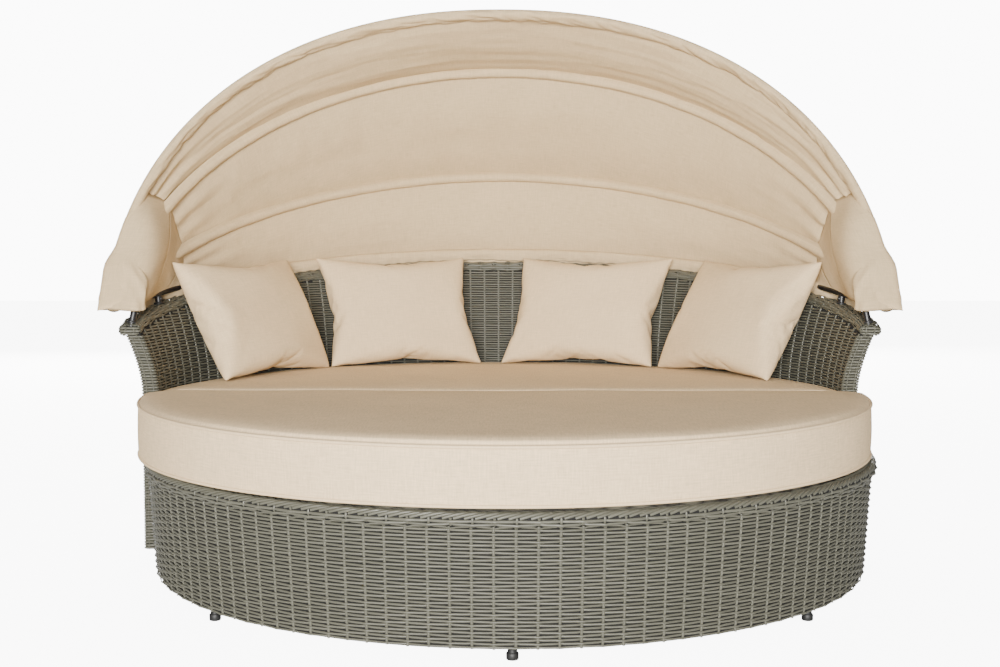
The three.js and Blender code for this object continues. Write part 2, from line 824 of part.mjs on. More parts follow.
function sofaGroup() {
  const group = new THREE.Group();
  add(group, "sofa_frame", sofaFrame(), frameMetal);
  add(group, "sofa_weave", sofaWeave(), wicker);
  add(group, "sofa_front_panel", sofaFront(), wicker);
  add(group, "sofa_rim", sofaRim(), braid);
  add(group, "sofa_deck", sofaDeck(), strap);
  Object.entries(sides).forEach(([name, sign]) => add(group, `arm_end_${name}`, armEnd(sign), wicker));
  footBearings.forEach((bearing, i) => {
    add(group, `sofa_foot_${i + 1}`, footSolid(wall.radius - hoopDepth, wallCentreY, 1, bearing), glide);
  });
  add(group, "rear_cushion", cushionSolid(innerRadius - cushion.wallGap, 0, split.gap / 2, 1), seatFabric);
  return group;
}

function ottomanGroup() {
  const group = new THREE.Group();
  group.position.x = ottoman.sideShift;
  add(group, "ottoman_frame", ottomanFrame(), frameMetal);
  add(group, "ottoman_weave", ottomanWeave(), wicker);
  add(group, "ottoman_back_panel", ottomanBack(), wicker);
  add(group, "ottoman_roll", ottomanRoll(), braid);
  add(group, "ottoman_deck", ottomanDeck(), strap);
  const footReach = deckEdge - foot.inset;
  footBearings.forEach((bearing, i) => {
    add(group, `ottoman_foot_${i + 1}`, footSolid(footReach, ottomanCentreY, -1, bearing), glide);
  });
  const shift = cushion.frontSideShift - ottoman.sideShift;
  const frontRadius = rollRadius + cushion.overhang;
  add(group, "front_cushion", cushionSolid(frontRadius, shift, -split.gap / 2, -1), seatFabric);
  return group;
}

function pillowGroup() {
  const group = new THREE.Group();
  add(group, "pillow_outer_left", pillowPlaced("outer", sides.left), pillowFabric);
  add(group, "pillow_inner_left", pillowPlaced("inner", sides.left), pillowFabric);
  add(group, "pillow_inner_right", pillowPlaced("inner", sides.right), pillowFabric);
  add(group, "pillow_outer_right", pillowPlaced("outer", sides.right), pillowFabric);
  return group;
}

function canopyGroup() {
  const group = new THREE.Group();
  add(group, "canopy_rail", railSolid(), blackMetal);
  Object.entries(sides).forEach(([name, sign]) => {
    add(group, `rail_strut_${name}`, strutSolid(sign), blackMetal);
    add(group, `pivot_bolt_${name}`, boltSolid(sign), blackMetal);
    add(group, `pivot_knob_${name}`, knobSolid(sign), blackMetal);
    add(group, `canopy_side_${name}`, canopySide(sign), canopyFabric);
  });
  const bearings = [post.frontBearing, post.backBearing, 180 - post.backBearing, 180 - post.frontBearing];
  bearings.forEach((bearing, i) => add(group, `rail_post_${i + 1}`, postSolid(bearing), blackMetal));
  ["front", "middle", "rear"].forEach((name) => add(group, `bow_${name}`, bowSolid(name), blackMetal));
  add(group, "canopy_front_panel", panelSolid("front", sewnTo("middle")), canopyFabric);
  add(group, "canopy_middle_panel", panelSolid("middle", sewnTo("rear")), canopyFabric);
  add(group, "canopy_rear_panel", panelSolid("rear", hung), canopyFabric);
  return group;
}

const daybed = new THREE.Group();
daybed.name = "canopy_daybed";
daybed.add(sofaGroup(), ottomanGroup(), pillowGroup(), canopyGroup());
daybed.position.y = (rollRadius - rimRadius - rim.bulge) / 2;

export default daybed;
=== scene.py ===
"""Looks of an outdoor canopy daybed: wicker, cushions, pillows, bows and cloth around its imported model."""

import math

import bpy
import numpy as np
from bpy.props import FloatProperty, FloatVectorProperty, IntProperty, PointerProperty
from bpy.types import Operator, Panel, PropertyGroup
from mathutils import Matrix, Vector


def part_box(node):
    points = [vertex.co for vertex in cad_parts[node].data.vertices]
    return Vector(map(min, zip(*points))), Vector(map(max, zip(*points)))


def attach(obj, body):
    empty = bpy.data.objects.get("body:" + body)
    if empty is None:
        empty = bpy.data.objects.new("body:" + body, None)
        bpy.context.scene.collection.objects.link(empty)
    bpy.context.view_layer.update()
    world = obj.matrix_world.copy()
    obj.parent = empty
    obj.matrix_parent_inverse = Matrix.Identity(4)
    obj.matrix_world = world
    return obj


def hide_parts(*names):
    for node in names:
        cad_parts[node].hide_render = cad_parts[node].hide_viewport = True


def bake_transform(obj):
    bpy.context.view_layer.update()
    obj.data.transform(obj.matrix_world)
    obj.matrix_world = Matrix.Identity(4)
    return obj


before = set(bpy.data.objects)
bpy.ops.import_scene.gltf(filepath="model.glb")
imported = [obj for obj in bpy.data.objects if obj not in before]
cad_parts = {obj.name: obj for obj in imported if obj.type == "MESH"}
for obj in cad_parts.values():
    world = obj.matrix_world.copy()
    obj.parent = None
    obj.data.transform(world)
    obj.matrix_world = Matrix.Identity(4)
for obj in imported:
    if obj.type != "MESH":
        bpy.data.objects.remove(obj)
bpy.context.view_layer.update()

bl_info = {
    "name": "Canopy Daybed",
    "version": (1, 0, 0),
    "blender": (4, 5, 0),
    "location": "View3D > Sidebar > Daybed",
    "description": "Builds the wicker, cushions, pillows and canopy of a round daybed",
    "category": "Object",
}

# Places in metres, as in the part: the halves meet at y = SPLIT_Y.
SPLIT_Y = -0.0335
HALF_GAP = 0.00845
WALL_Y, OTTOMAN_Y = SPLIT_Y + HALF_GAP, SPLIT_Y - HALF_GAP
OTTOMAN_X = 0.024
FRONT_CUSHION_X = 0.011
WALL_RADIUS, WALL_THICK = 0.908, 0.045
FLARE_FROM, FLARE = 0.430, 0.050
ARM_TOP, BACK_TOP = 0.596, 0.740
RIM_HEIGHT, RIM_OUT = 0.026, 0.004
SKIN_BOTTOM, DECK_TOP = 0.024, 0.300
OTTOMAN_LOW, OTTOMAN_HIGH = 0.870, 0.886
ROLL_RADIUS, ROLL_HEIGHT, DECK_EDGE = 0.898, 0.036, 0.864
CUSHION_THICK, CUSHION_CORNER = 0.128, 0.026
CLEAR = 0.0003
CUSHION_BOTTOM = DECK_TOP + CLEAR
PIVOT_Y, PIVOT_Z = SPLIT_Y + 0.030, 0.655
HUB_X = {"front": 0.992, "middle": 0.970, "rear": 0.948, "rail": 0.926}
BOW_REACH = {"front": 0.919, "middle": 0.946, "rear": 0.950}
BOW_POWER = {"front": 2.2, "middle": 2.0, "rear": 1.9}
BOW_LIFT = {"front": 60.0, "middle": 44.0, "rear": 22.0}
SEAM_AT = {"front": 0.105, "middle": 0.128, "rear": 0.127, "rail": 0.118}
BOW_BODY = {"front": "front_bow", "middle": "middle_bow", "rear": "rear_bow", "rail": "sofa"}
TUBE = 0.0095
SIDES = {"left": -1, "right": 1}


def linear(red, green, blue):
    """A screen colour, 0 to 255, as linear light."""
    return tuple(((c / 255 + 0.055) / 1.055) ** 2.4 for c in (red, green, blue))


def mix(a, b, share):
    return a + (b - a) * share


def smooth(share):
    t = np.clip(share, 0, 1)
    return t * t * (3 - 2 * t)


def unit(vectors):
    """Directions, each of the length 1."""
    return vectors / np.linalg.norm(vectors, axis=-1)[..., None]


def stacked(*values):
    """Coordinates of matching shapes as one array of points."""
    return np.stack(np.broadcast_arrays(*values), -1)


def colour(name, text, default):
    return FloatVectorProperty(
        name=name, description=text, default=default, subtype="COLOR", size=3, min=0, max=1
    )


def length(name, text, default, top=0.2):
    return FloatProperty(
        name=name, description=text, default=default, min=0, max=top, subtype="DISTANCE", unit="LENGTH"
    )


def amount(name, text, default):
    return FloatProperty(name=name, description=text, default=default, min=0)


class DAYBED_PG_wicker(PropertyGroup):
    """Sizes and colours of the woven skin."""

    pitch: length("Row pitch", "Height from one strand to the next", 0.0072)
    width: length("Strand width", "Width of a half-round strand", 0.0047)
    thickness: length("Strand thickness", "How far a strand stands out", 0.0024)
    spacing: length("Stake spacing", "Distance between upright stakes", 0.0425)
    sway: length("Sway", "How far a strand bends round a stake", 0.0026)
    strand: colour("Strand", "Colour of the strands", linear(87, 86, 75))
    shade: colour("Shade", "Colour of the darker strands", linear(70, 69, 59))
    # Painted shade: near-black colour of the sheet behind the strands, standing for the shade inside the weave.
    shade_sheet: colour("Backing", "Colour behind the strands", linear(15, 14, 12))


class DAYBED_PG_seat(PropertyGroup):
    """Sizes and colours of the seat cushions."""

    piping: length("Piping", "Radius of the piping cord", 0.0036)
    crown: length("Crown", "How far the top rises", 0.008)
    pucker: length("Pucker", "Depth of the gathers beside the piping", 0.0009)
    fabric: colour("Fabric", "Colour of the seat fabric", (0.66, 0.50, 0.305))


class DAYBED_PG_pillow(PropertyGroup):
    """Sizes and colours of the loose pillows."""

    width: length("Width", "Width of a filled pillow", 0.462, 1)
    height: length("Height", "Height of a filled pillow", 0.356, 1)
    thickness: length("Thickness", "Thickness of a filled pillow", 0.130)
    pressure: amount("Filling", "Pressure of the filling", 5.0)
    steps: IntProperty(name="Steps", description="Steps of the filling", default=20, min=1, max=60)
    fabric: colour("Fabric", "Colour of the pillow fabric", (0.64, 0.482, 0.29))


class DAYBED_PG_canopy(PropertyGroup):
    """Sizes and colours of the canopy."""

    sag: length("Sag", "How far the cloth hangs in between two bows", 0.024)
    crease: length("Crease", "Depth of the slack creases", 0.0095)
    sleeve: length("Sleeve", "Width of the sleeve sewn round the front bow", 0.036)
    cloth_thick: length("Cloth thickness", "Thickness of the cloth", 0.0012)
    cloth: colour("Cloth", "Colour of the canopy cloth", (0.53, 0.398, 0.233))


class DAYBED_PG_metal(PropertyGroup):
    """Colours of the metalwork."""

    coat: colour("Black coat", "Colour of the coated tube", linear(22, 22, 23))
    frame_coat: colour("Frame coat", "Colour of the coated inner frame", linear(44, 44, 44))
    glide: colour("Glide", "Colour of the foot glides", linear(18, 18, 18))


class DAYBED_PG_stage(PropertyGroup):
    """Floor, lights and camera."""

    floor: colour("Floor", "Colour of the floor", (0.86, 0.86, 0.86))
    key: amount("Key light", "Power of the large front light", 1550.0)
    top: amount("Top light", "Power of the overhead light", 5.0)
    back: amount("Back light", "Power of the light behind", 950.0)
    sky: amount("Sky", "Strength of the even light", 0.20)
    backdrop: amount("Backdrop", "Brightness of the backdrop", 11.0)


# Materials


def put(tree, kind, sockets=None, **settings):
    """Adds a node, with values or links for its inputs."""
    node = tree.nodes.new(kind)
    for name, value in settings.items():
        setattr(node, name, value)
    for name, value in (sockets or {}).items():
        if isinstance(value, bpy.types.NodeSocket):
            tree.links.new(value, node.inputs[name])
        else:
            node.inputs[name].default_value = value
    return node


def maths(tree, operation, first, second=0.0, third=None):
    """The result of a math node on links or values."""
    node = put(tree, "ShaderNodeMath", {0: first, 1: second}, operation=operation)
    if third is not None:
        node.inputs[2].default_value = third
    return node.outputs[0]


def times(tree, first, second):
    return maths(tree, "MULTIPLY", first, second)


def plus(tree, first, second):
    return maths(tree, "ADD", first, second)


def two_tone(tree, share, low, high):
    """A blend of two colours."""
    node = put(tree, "ShaderNodeMix", {0: share, 6: (*low, 1), 7: (*high, 1)}, data_type="RGBA")
    return node.outputs[2]


def new_group(name, inputs, outputs):
    """An empty node group with named sockets, and its two end nodes."""
    group = bpy.data.node_groups.new(name, "ShaderNodeTree")
    for label, kind, default in inputs:
        socket = group.interface.new_socket(name=label, in_out="INPUT", socket_type=kind)
        if default is not None:
            socket.default_value = default
    for label, kind in outputs:
        group.interface.new_socket(name=label, in_out="OUTPUT", socket_type=kind)
    return group, group.nodes.new("NodeGroupInput"), group.nodes.new("NodeGroupOutput")


def ready_group(name, make):
    return bpy.data.node_groups.get(name) or make(name)


def stretched_noise(tree, vector, scale, detail=3.0, roughness=0.55):
    """Noise drawn out along one direction of the surface, from about 0.3 to 0.7."""
    stretch = put(tree, "ShaderNodeMapping", {"Vector": vector, "Scale": scale})
    noise = put(
        tree,
        "ShaderNodeTexNoise",
        {"Vector": stretch.outputs[0], "Scale": 1.0, "Detail": detail, "Roughness": roughness},
    )
    return noise.outputs["Fac"]


def make_linen(name):
    """Plain weave with slubs: the threads' height, and a tone that runs along both sets of threads."""
    tree, given, result = new_group(
        name,
        [("Threads", "NodeSocketFloat", 900.0), ("Slub", "NodeSocketFloat", 0.5)],
        [("Height", "NodeSocketFloat"), ("Tone", "NodeSocketFloat")],
    )
    uv = put(tree, "ShaderNodeUVMap").outputs[0]
    parts = put(tree, "ShaderNodeSeparateXYZ", {0: uv})
    turns = times(tree, given.outputs["Threads"], math.pi)
    warp = maths(tree, "SINE", times(tree, parts.outputs[0], turns))
    weft = maths(tree, "SINE", times(tree, parts.outputs[1], turns))
    height = maths(tree, "MULTIPLY_ADD", times(tree, warp, weft), 0.5, 0.5)
    along = stretched_noise(tree, uv, (26, 300, 1), 4.0, 0.7)
    across = stretched_noise(tree, uv, (300, 26, 1), 4.0, 0.7)
    cloud = stretched_noise(tree, uv, (9, 9, 1), 2.0)
    slubs = maths(tree, "SUBTRACT", plus(tree, along, across), 1.0)
    slubs = times(tree, slubs, given.outputs["Slub"])
    cloud = times(tree, maths(tree, "SUBTRACT", cloud, 0.5), 0.12)
    tone = plus(tree, plus(tree, slubs, cloud), 1.0)
    tree.links.new(height, result.inputs["Height"])
    tree.links.new(tone, result.inputs["Tone"])
    return tree


def make_strand(name):
    """Moulded strand: long fine streaks, and a tone of its own for each row."""
    tree, given, result = new_group(
        name,
        [("Streaks", "NodeSocketFloat", 1.0), ("Difference", "NodeSocketFloat", 1.0)],
        [("Height", "NodeSocketFloat"), ("Shade", "NodeSocketFloat"), ("Tone", "NodeSocketFloat")],
    )
    uv = put(tree, "ShaderNodeUVMap").outputs[0]
    parts = put(tree, "ShaderNodeSeparateXYZ", {0: uv})
    row = maths(tree, "FLOOR", parts.outputs[1])
    place = put(tree, "ShaderNodeCombineXYZ", {0: times(tree, parts.outputs[0], 1.6), 1: row})
    patch = put(tree, "ShaderNodeTexNoise", {"Vector": place.outputs[0], "Scale": 2.3, "Detail": 1.0})
    streak = stretched_noise(tree, uv, (16, 5, 1), 3.0, 0.6)
    fine = stretched_noise(tree, uv, (60, 22, 1), 2.0)
    shade = times(tree, maths(tree, "SUBTRACT", patch.outputs["Fac"], 0.42), given.outputs["Difference"])
    shade = times(tree, shade, 3.2)
    tone = times(tree, maths(tree, "SUBTRACT", streak, 0.5), given.outputs["Streaks"])
    tone = plus(tree, times(tree, tone, 0.55), 1.0)
    tree.links.new(plus(tree, times(tree, streak, 0.6), fine), result.inputs["Height"])
    tree.links.new(put(tree, "ShaderNodeClamp", {0: shade}).outputs[0], result.inputs["Shade"])
    tree.links.new(tone, result.inputs["Tone"])
    return tree


def make_wear(name):
    """Coat rubbed thin on edges, with fine grain and faint dust."""
    tree, given, result = new_group(
        name,
        [("Amount", "NodeSocketFloat", 1.0), ("Grain", "NodeSocketFloat", 900.0)],
        [("Height", "NodeSocketFloat"), ("Edge", "NodeSocketFloat"), ("Dust", "NodeSocketFloat")],
    )
    where = put(tree, "ShaderNodeTexCoord").outputs["Object"]
    sharp = put(tree, "ShaderNodeNewGeometry").outputs["Pointiness"]
    blotch = put(tree, "ShaderNodeTexNoise", {"Vector": where, "Scale": 34.0, "Detail": 4.0}).outputs["Fac"]
    grain = put(tree, "ShaderNodeTexNoise", {"Vector": where, "Scale": given.outputs["Grain"], "Detail": 2.0})
    edge = put(
        tree, "ShaderNodeMapRange", {"Value": sharp, "From Min": 0.53, "From Max": 0.62, "To Min": 0.0, "To Max": 1.0}
    ).outputs[0]
    edge = times(tree, times(tree, edge, blotch), given.outputs["Amount"])
    tree.links.new(grain.outputs["Fac"], result.inputs["Height"])
    tree.links.new(put(tree, "ShaderNodeClamp", {0: edge}).outputs[0], result.inputs["Edge"])
    tree.links.new(times(tree, blotch, 0.5), result.inputs["Dust"])
    return tree


def start_material(name, **constants):
    """A material whose Principled shader has these constant values."""
    material = bpy.data.materials.new(name)
    material.use_nodes = True
    shader = material.node_tree.nodes["Principled BSDF"]
    for label, value in constants.items():
        shader.inputs[label.replace("_", " ")].default_value = value
    return material, material.node_tree, shader


def bump(tree, shader, height, distance, strength=1.0):
    node = put(tree, "ShaderNodeBump", {"Height": height, "Distance": distance, "Strength": strength})
    tree.links.new(node.outputs[0], shader.inputs["Normal"])


def shaded(tree, shader, base, tone):
    """Base colour times a tone."""
    grey = put(tree, "ShaderNodeCombineColor", {0: tone, 1: tone, 2: tone})
    if not isinstance(base, bpy.types.NodeSocket):
        base = (*base, 1)
    ends = {0: 1.0, 6: base, 7: grey.outputs[0]}
    node = put(tree, "ShaderNodeMix", ends, data_type="RGBA", blend_type="MULTIPLY")
    tree.links.new(node.outputs[2], shader.inputs["Base Color"])


THREAD_DEPTH = 0.0004


def fabric_material(name, base, threads=900.0, slub=0.5, sheen=0.12):
    """Woven cloth with slubs and a soft sheen."""
    material, tree, shader = start_material(name, Roughness=0.92, Specular_IOR_Level=0.12, Sheen_Weight=sheen)
    shader.inputs["Sheen Roughness"].default_value = 0.5
    shader.inputs["Sheen Tint"].default_value = (*base, 1)
    linen = put(
        tree, "ShaderNodeGroup", {"Threads": threads, "Slub": slub}, node_tree=ready_group("Linen weave", make_linen)
    )
    shaded(tree, shader, base, linen.outputs["Tone"])
    bump(tree, shader, linen.outputs["Height"], THREAD_DEPTH, 0.5)
    return material


def strand_material(name, light, dark, roughness=0.46, streaks=1.0, difference=1.0):
    """Moulded wicker strand, a little glossy, with streaks and darker rows."""
    material, tree, shader = start_material(name, Specular_IOR_Level=0.42)
    strand = put(
        tree,
        "ShaderNodeGroup",
        {"Streaks": streaks, "Difference": difference},
        node_tree=ready_group("Wicker strand", make_strand),
    )
    shaded(tree, shader, two_tone(tree, strand.outputs["Shade"], light, dark), strand.outputs["Tone"])
    rough = maths(tree, "MULTIPLY_ADD", strand.outputs["Height"], 0.12, roughness - 0.08)
    tree.links.new(rough, shader.inputs["Roughness"])
    bump(tree, shader, strand.outputs["Height"], 0.0003, 0.6)
    return material


def coat_material(name, base, roughness=0.38, metallic=0.0, grain=900.0, wear=1.0):
    """Coated metal or moulded plastic with grain, worn edges and faint dust."""
    material, tree, shader = start_material(name, Metallic=metallic, Specular_IOR_Level=0.5)
    finish = put(
        tree, "ShaderNodeGroup", {"Amount": wear, "Grain": grain}, node_tree=ready_group("Coat wear", make_wear)
    )
    worn = tuple(min(1, 3 * c + 0.03) for c in base)
    tree.links.new(two_tone(tree, finish.outputs["Edge"], base, worn), shader.inputs["Base Color"])
    rough = maths(tree, "MULTIPLY_ADD", finish.outputs["Dust"], 0.3, roughness)
    tree.links.new(rough, shader.inputs["Roughness"])
    bump(tree, shader, finish.outputs["Height"], 0.00012, 0.5)
    return material


STRAP_PITCH = 0.1


def webbing_material(name, light, dark):
    """Flat straps plaited over and under, seen on the decks, with painted shade in the low lines between the straps."""
    material, tree, shader = start_material(name, Roughness=0.8, Specular_IOR_Level=0.2)
    where = put(tree, "ShaderNodeTexCoord").outputs["Object"]
    parts = put(tree, "ShaderNodeSeparateXYZ", {0: where})
    turns = 2 * math.pi / STRAP_PITCH
    across = maths(tree, "SINE", times(tree, parts.outputs[0], turns))
    along = maths(tree, "SINE", times(tree, parts.outputs[1], turns))
    height = maths(tree, "ABSOLUTE", times(tree, across, along))
    share = put(tree, "ShaderNodeClamp", {0: height}).outputs[0]
    # The colour darkens where the bump is low, between the straps: painted shade.
    tree.links.new(two_tone(tree, share, dark, light), shader.inputs["Base Color"])
    bump(tree, shader, height, 0.002)
    return material


def finish_of(key, scene):
    """The named material, made once."""
    made = bpy.data.materials.get(key)
    if made:
        return made
    wicker, metal = scene.daybed_wicker, scene.daybed_metal
    strand, shade, shade_sheet = wicker.strand[:], wicker.shade[:], wicker.shade_sheet[:]
    makers = {
        "wicker_strand": lambda: strand_material(key, strand, shade, 0.4, 1.0, 0.55),
        # Painted shade: the near-black sheet behind the weave.
        "wicker_shade_sheet": lambda: coat_material(key, shade_sheet, 0.85, wear=0.0),
        "seat_linen": lambda: fabric_material(key, scene.daybed_seat.fabric[:], slub=0.62),
        "seat_piping": lambda: fabric_material(key, scene.daybed_seat.fabric[:], slub=0.35),
        "pillow_linen": lambda: fabric_material(key, scene.daybed_pillow.fabric[:], slub=0.4, sheen=0.2),
        "canopy_cloth": lambda: fabric_material(key, scene.daybed_canopy.cloth[:], 1100.0, 0.45, 0.1),
        "black_coat": lambda: coat_material(key, metal.coat[:], 0.3),
        "frame_coat": lambda: coat_material(key, metal.frame_coat[:], 0.42),
        "bolt_black": lambda: coat_material(key, metal.coat[:], 0.28, 0.6, 500.0, 1.6),
        "foot_glide": lambda: coat_material(key, metal.glide[:], 0.5, 0.0, 300.0, 0.4),
        "deck_webbing": lambda: webbing_material(key, linear(92, 88, 76), linear(40, 38, 34)),
    }
    return makers[key]()


# Mesh building


def make_piece(name, points, faces, materials, uv=None, material_of=None):
    """A mesh object from arrays of points, faces and surface places in metres."""
    mesh = bpy.data.meshes.new(name)
    mesh.from_pydata(np.asarray(points, float).tolist(), [], [list(f) for f in faces])
    for material in materials:
        mesh.materials.append(material)
    mesh.polygons.foreach_set("use_smooth", np.full(len(mesh.polygons), True))
    if material_of is not None:
        mesh.polygons.foreach_set("material_index", np.asarray(material_of, np.int32))
    layer = mesh.uv_layers.new(name="UVMap")
    corners = np.zeros(len(mesh.loops), np.int32)
    mesh.loops.foreach_get("vertex_index", corners)
    flat = np.asarray(points, float)[:, :2] if uv is None else np.asarray(uv, float)
    layer.data.foreach_set("uv", flat[corners].astype(np.float32).ravel())
    mesh.update()
    piece = bpy.data.objects.new(name, mesh)
    bpy.context.scene.collection.objects.link(piece)
    return piece


def settle(piece, body, slot, *nodes):
    """Puts a piece on its body, in the place of the plain solids it stands for."""
    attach(piece, body)
    if nodes:
        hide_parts(*nodes)
    return piece


def grid_faces(rows, columns, round_columns=False, round_rows=False):
    """Quads between neighbouring rows and columns of points."""
    across = columns if round_columns else columns - 1
    down = rows if round_rows else rows - 1
    i, j = np.meshgrid(np.arange(down), np.arange(across), indexing="ij")
    a = i * columns + j
    b = i * columns + (j + 1) % columns
    c = ((i + 1) % rows) * columns + (j + 1) % columns
    d = ((i + 1) % rows) * columns + j
    return np.stack([a, b, c, d], -1).reshape(-1, 4)


class Parts:
    """Gathers surfaces that are joined into one mesh."""

    def __init__(self):
        self.points, self.uv, self.faces, self.kinds, self.count = [], [], [], [], 0

    def add(self, points, faces, uv, kind=0):
        self.points.append(np.asarray(points, float).reshape(-1, 3))
        self.uv.append(np.asarray(uv, float).reshape(-1, 2))
        self.faces.extend((np.asarray(faces) + self.count).tolist())
        self.kinds.extend([kind] * len(faces))
        self.count += len(self.points[-1])

    def add_grid(self, points, uv, kind=0, **closed):
        self.add(points, grid_faces(*points.shape[:2], **closed), uv, kind)

    def piece(self, name, materials):
        return make_piece(name, np.concatenate(self.points), self.faces, materials, np.concatenate(self.uv), self.kinds)


def along_path(path, closed=False):
    """Directions along a row of points, and two directions across it that don't twist."""
    path = np.asarray(path, float)
    if closed:
        ahead = np.roll(path, -1, 0) - np.roll(path, 1, 0)
    else:
        ahead = np.gradient(path, axis=0)
    ahead = unit(ahead)
    side = np.cross(ahead[0], (0, 0, 1) if abs(ahead[0][2]) < 0.9 else (0, 1, 0))
    sides = []
    for direction in ahead:
        side = side - direction * side.dot(direction)
        side = side / np.linalg.norm(side)
        sides.append(side)
    sides = np.array(sides)
    return ahead, sides, np.cross(ahead, sides)


def distances(path):
    steps = np.linalg.norm(np.diff(path, axis=0), axis=1)
    return np.concatenate([[0], np.cumsum(steps)])


def tube_grid(path, radius, sides=16, closed=False):
    """Round skin along a path, with surface places in metres."""
    path = np.asarray(path, float)
    _, first, second = along_path(path, closed)
    turns = np.arange(sides) * 2 * np.pi / sides
    radii = np.broadcast_to(radius, len(path))[:, None, None]
    ring = first[:, None] * np.cos(turns)[:, None] + second[:, None] * np.sin(turns)[:, None]
    points = path[:, None] + ring * radii
    return points, stacked(distances(path)[:, None], turns * float(np.mean(radius)))


def add_tube(parts, path, radius, sides=16, closed=False):
    """Round tube along a path, with flat ends where it isn't a ring."""
    points, uv = tube_grid(path, radius, sides, closed)
    parts.add_grid(points, uv, round_columns=True, round_rows=closed)
    if not closed:
        for row, flip in ((0, 1), (-1, -1)):
            fan = [[i, (i + 1) % sides, sides][::flip] for i in range(sides)]
            parts.add(np.vstack([points[row], points[row].mean(0)]), np.array(fan), np.zeros((sides + 1, 2)))

def hills(x, y, seed):
    """Smooth random field from -1 to 1 that changes over a distance of about 1."""
    table = np.random.default_rng(seed).random((64, 64))
    x, y = np.broadcast_arrays(np.asarray(x, float), np.asarray(y, float))
    i, j = np.floor(x).astype(int), np.floor(y).astype(int)
    u, v = smooth(x - i), smooth(y - j)
    at = lambda a, b: table[(i + a) % 64, (j + b) % 64]
    low = at(0, 0) * (1 - u) + at(1, 0) * u
    high = at(0, 1) * (1 - u) + at(1, 1) * u
    return 2 * (low * (1 - v) + high * v) - 1


def rugged(x, y, seed, layers=3):
    """Hills of several sizes, the smaller ones lower."""
    return sum(hills(x * 2**k, y * 2**k, seed + k) / 2**k for k in range(layers)) / 1.6


# Wicker

STRAND_ACROSS = np.array([-0.5, -0.34, 0.0, 0.34, 0.5])
STRAND_OUT = np.array([0.0, 0.72, 1.0, 0.72, 0.0])
# Places of a strand's points from one stake to the next, as shares of the spacing.
STRAND_STEPS = np.array([0, 0.10, 0.22, 0.5, 0.78, 0.90])
# How far a strand's bend reaches past a stake, and how deep the shown stakes lie: outer skins, inner skin.
BEND, INNER_BEND = (0.0078, 0.0010), (0.0135, 0.0022)
# SHADE_SHEET_IN: depth of the near-black sheet behind the weave, painted shade for its hollow inside; unseen stake
# parts lie there too.
SHADE_SHEET_IN, STAKE_WIDE, STAKE_THICK, STAKE_GAP = 0.0036, 0.0058, 0.0027, 0.0002
SKIN_IN, RIM_LAP = 0.0025, 0.004
# Keeps rounding from dropping the last of a whole number of rows.
SLIVER = 1e-6


def wall_top(angle):
    return mix(ARM_TOP, BACK_TOP, np.clip(np.sin(angle), 0, 1) ** 0.8)


def wall_outer(angle, z):
    share = np.maximum(0, z - FLARE_FROM) / (wall_top(angle) - FLARE_FROM)
    return WALL_RADIUS + FLARE * share**1.6


def wall_point(angle, z, depth):
    angle, z, depth = np.broadcast_arrays(angle, z, depth)
    radius = wall_outer(angle, z) - depth
    return np.stack([radius * np.cos(angle), WALL_Y + radius * np.sin(angle), z], -1)


def add_weave(parts, sizes, place, span_of, tops_of, low, high, wide=1.0, bend=BEND):
    """Rows of strand that pass in front of one stake and behind the next.

    place(run, height, out) gives points, span_of(height) a row's two ends, and
    tops_of(run) the stakes' upper ends.
    """
    spacing = sizes.spacing
    reach, sunk = bend
    count = int((high - low) / sizes.pitch)
    for row in range(count):
        height = low + (row + 0.5) * sizes.pitch
        start, end = span_of(height + sizes.pitch / 2)
        cells = np.arange(math.floor(start / spacing), math.ceil(end / spacing) + 1)
        run = ((cells[:, None] + STRAND_STEPS).ravel() * spacing).clip(start, end)
        run = np.unique(run)[:, None]
        if len(run) < 4:
            continue
        stake = np.round(run / spacing)
        before = np.where((stake + row) % 2, -1.25, 1.0)
        front = before * np.exp(-(((run - stake * spacing) / reach) ** 2))
        front = front * smooth(np.minimum(run - start, end - run) / 0.02)
        wander = 0.0006 * np.sin(run * 9 + row * 0.21) + 0.0002 * np.sin(run * 37 + row * 2.4)
        heights = height + wander + STRAND_ACROSS * sizes.width * wide
        points = place(run, heights, sizes.sway * front + sizes.thickness * STRAND_OUT)
        parts.add_grid(points, stacked(run + row * 0.37, row + 0.5 + 0.9 * STRAND_ACROSS))
    start, end = span_of(low)
    stakes = np.arange(math.ceil(start / spacing), math.floor(end / spacing) + 1) * spacing
    for number, run in enumerate(stakes):
        rows = np.arange(count + 1)
        heights = np.minimum(low + (rows + 0.5) * sizes.pitch, float(tops_of(run)))
        heights[0] = low
        shown = (rows + round(run / spacing)) % 2 == 1
        heights, base = heights[:, None], np.where(shown, -STAKE_GAP - sunk, -SHADE_SHEET_IN)[:, None]
        across = STRAND_ACROSS * STAKE_WIDE
        points = place(run + across, heights, base + STAKE_THICK * STRAND_OUT)
        parts.add_grid(points, stacked(heights, 300 + number + across * 100))
    # Near-black sheet behind the rows: painted shade, seen through the gaps between strands.
    runs = np.linspace(start, end, 90)[:, None]
    heights = mix(low, tops_of(runs), np.linspace(0, 1, 20))
    parts.add_grid(place(runs, heights, -SHADE_SHEET_IN), stacked(runs, heights), 1)


def whole(end):
    """Ends of rows that all run from 0 to end."""
    return lambda height: (0.0, end)


def level(top):
    """Upper ends of stakes that all reach the same height."""
    return lambda run: top + 0 * np.asarray(run)


def wall_span(top_drop, radius):
    """Ends of a wicker row on the back: rows above the arms' tops start further back."""

    def span(height):
        share = (height + top_drop - ARM_TOP) / (BACK_TOP - ARM_TOP)
        angle = math.asin(min(1, max(0, share) ** 1.25))
        return radius * angle, radius * (math.pi - angle)

    return span


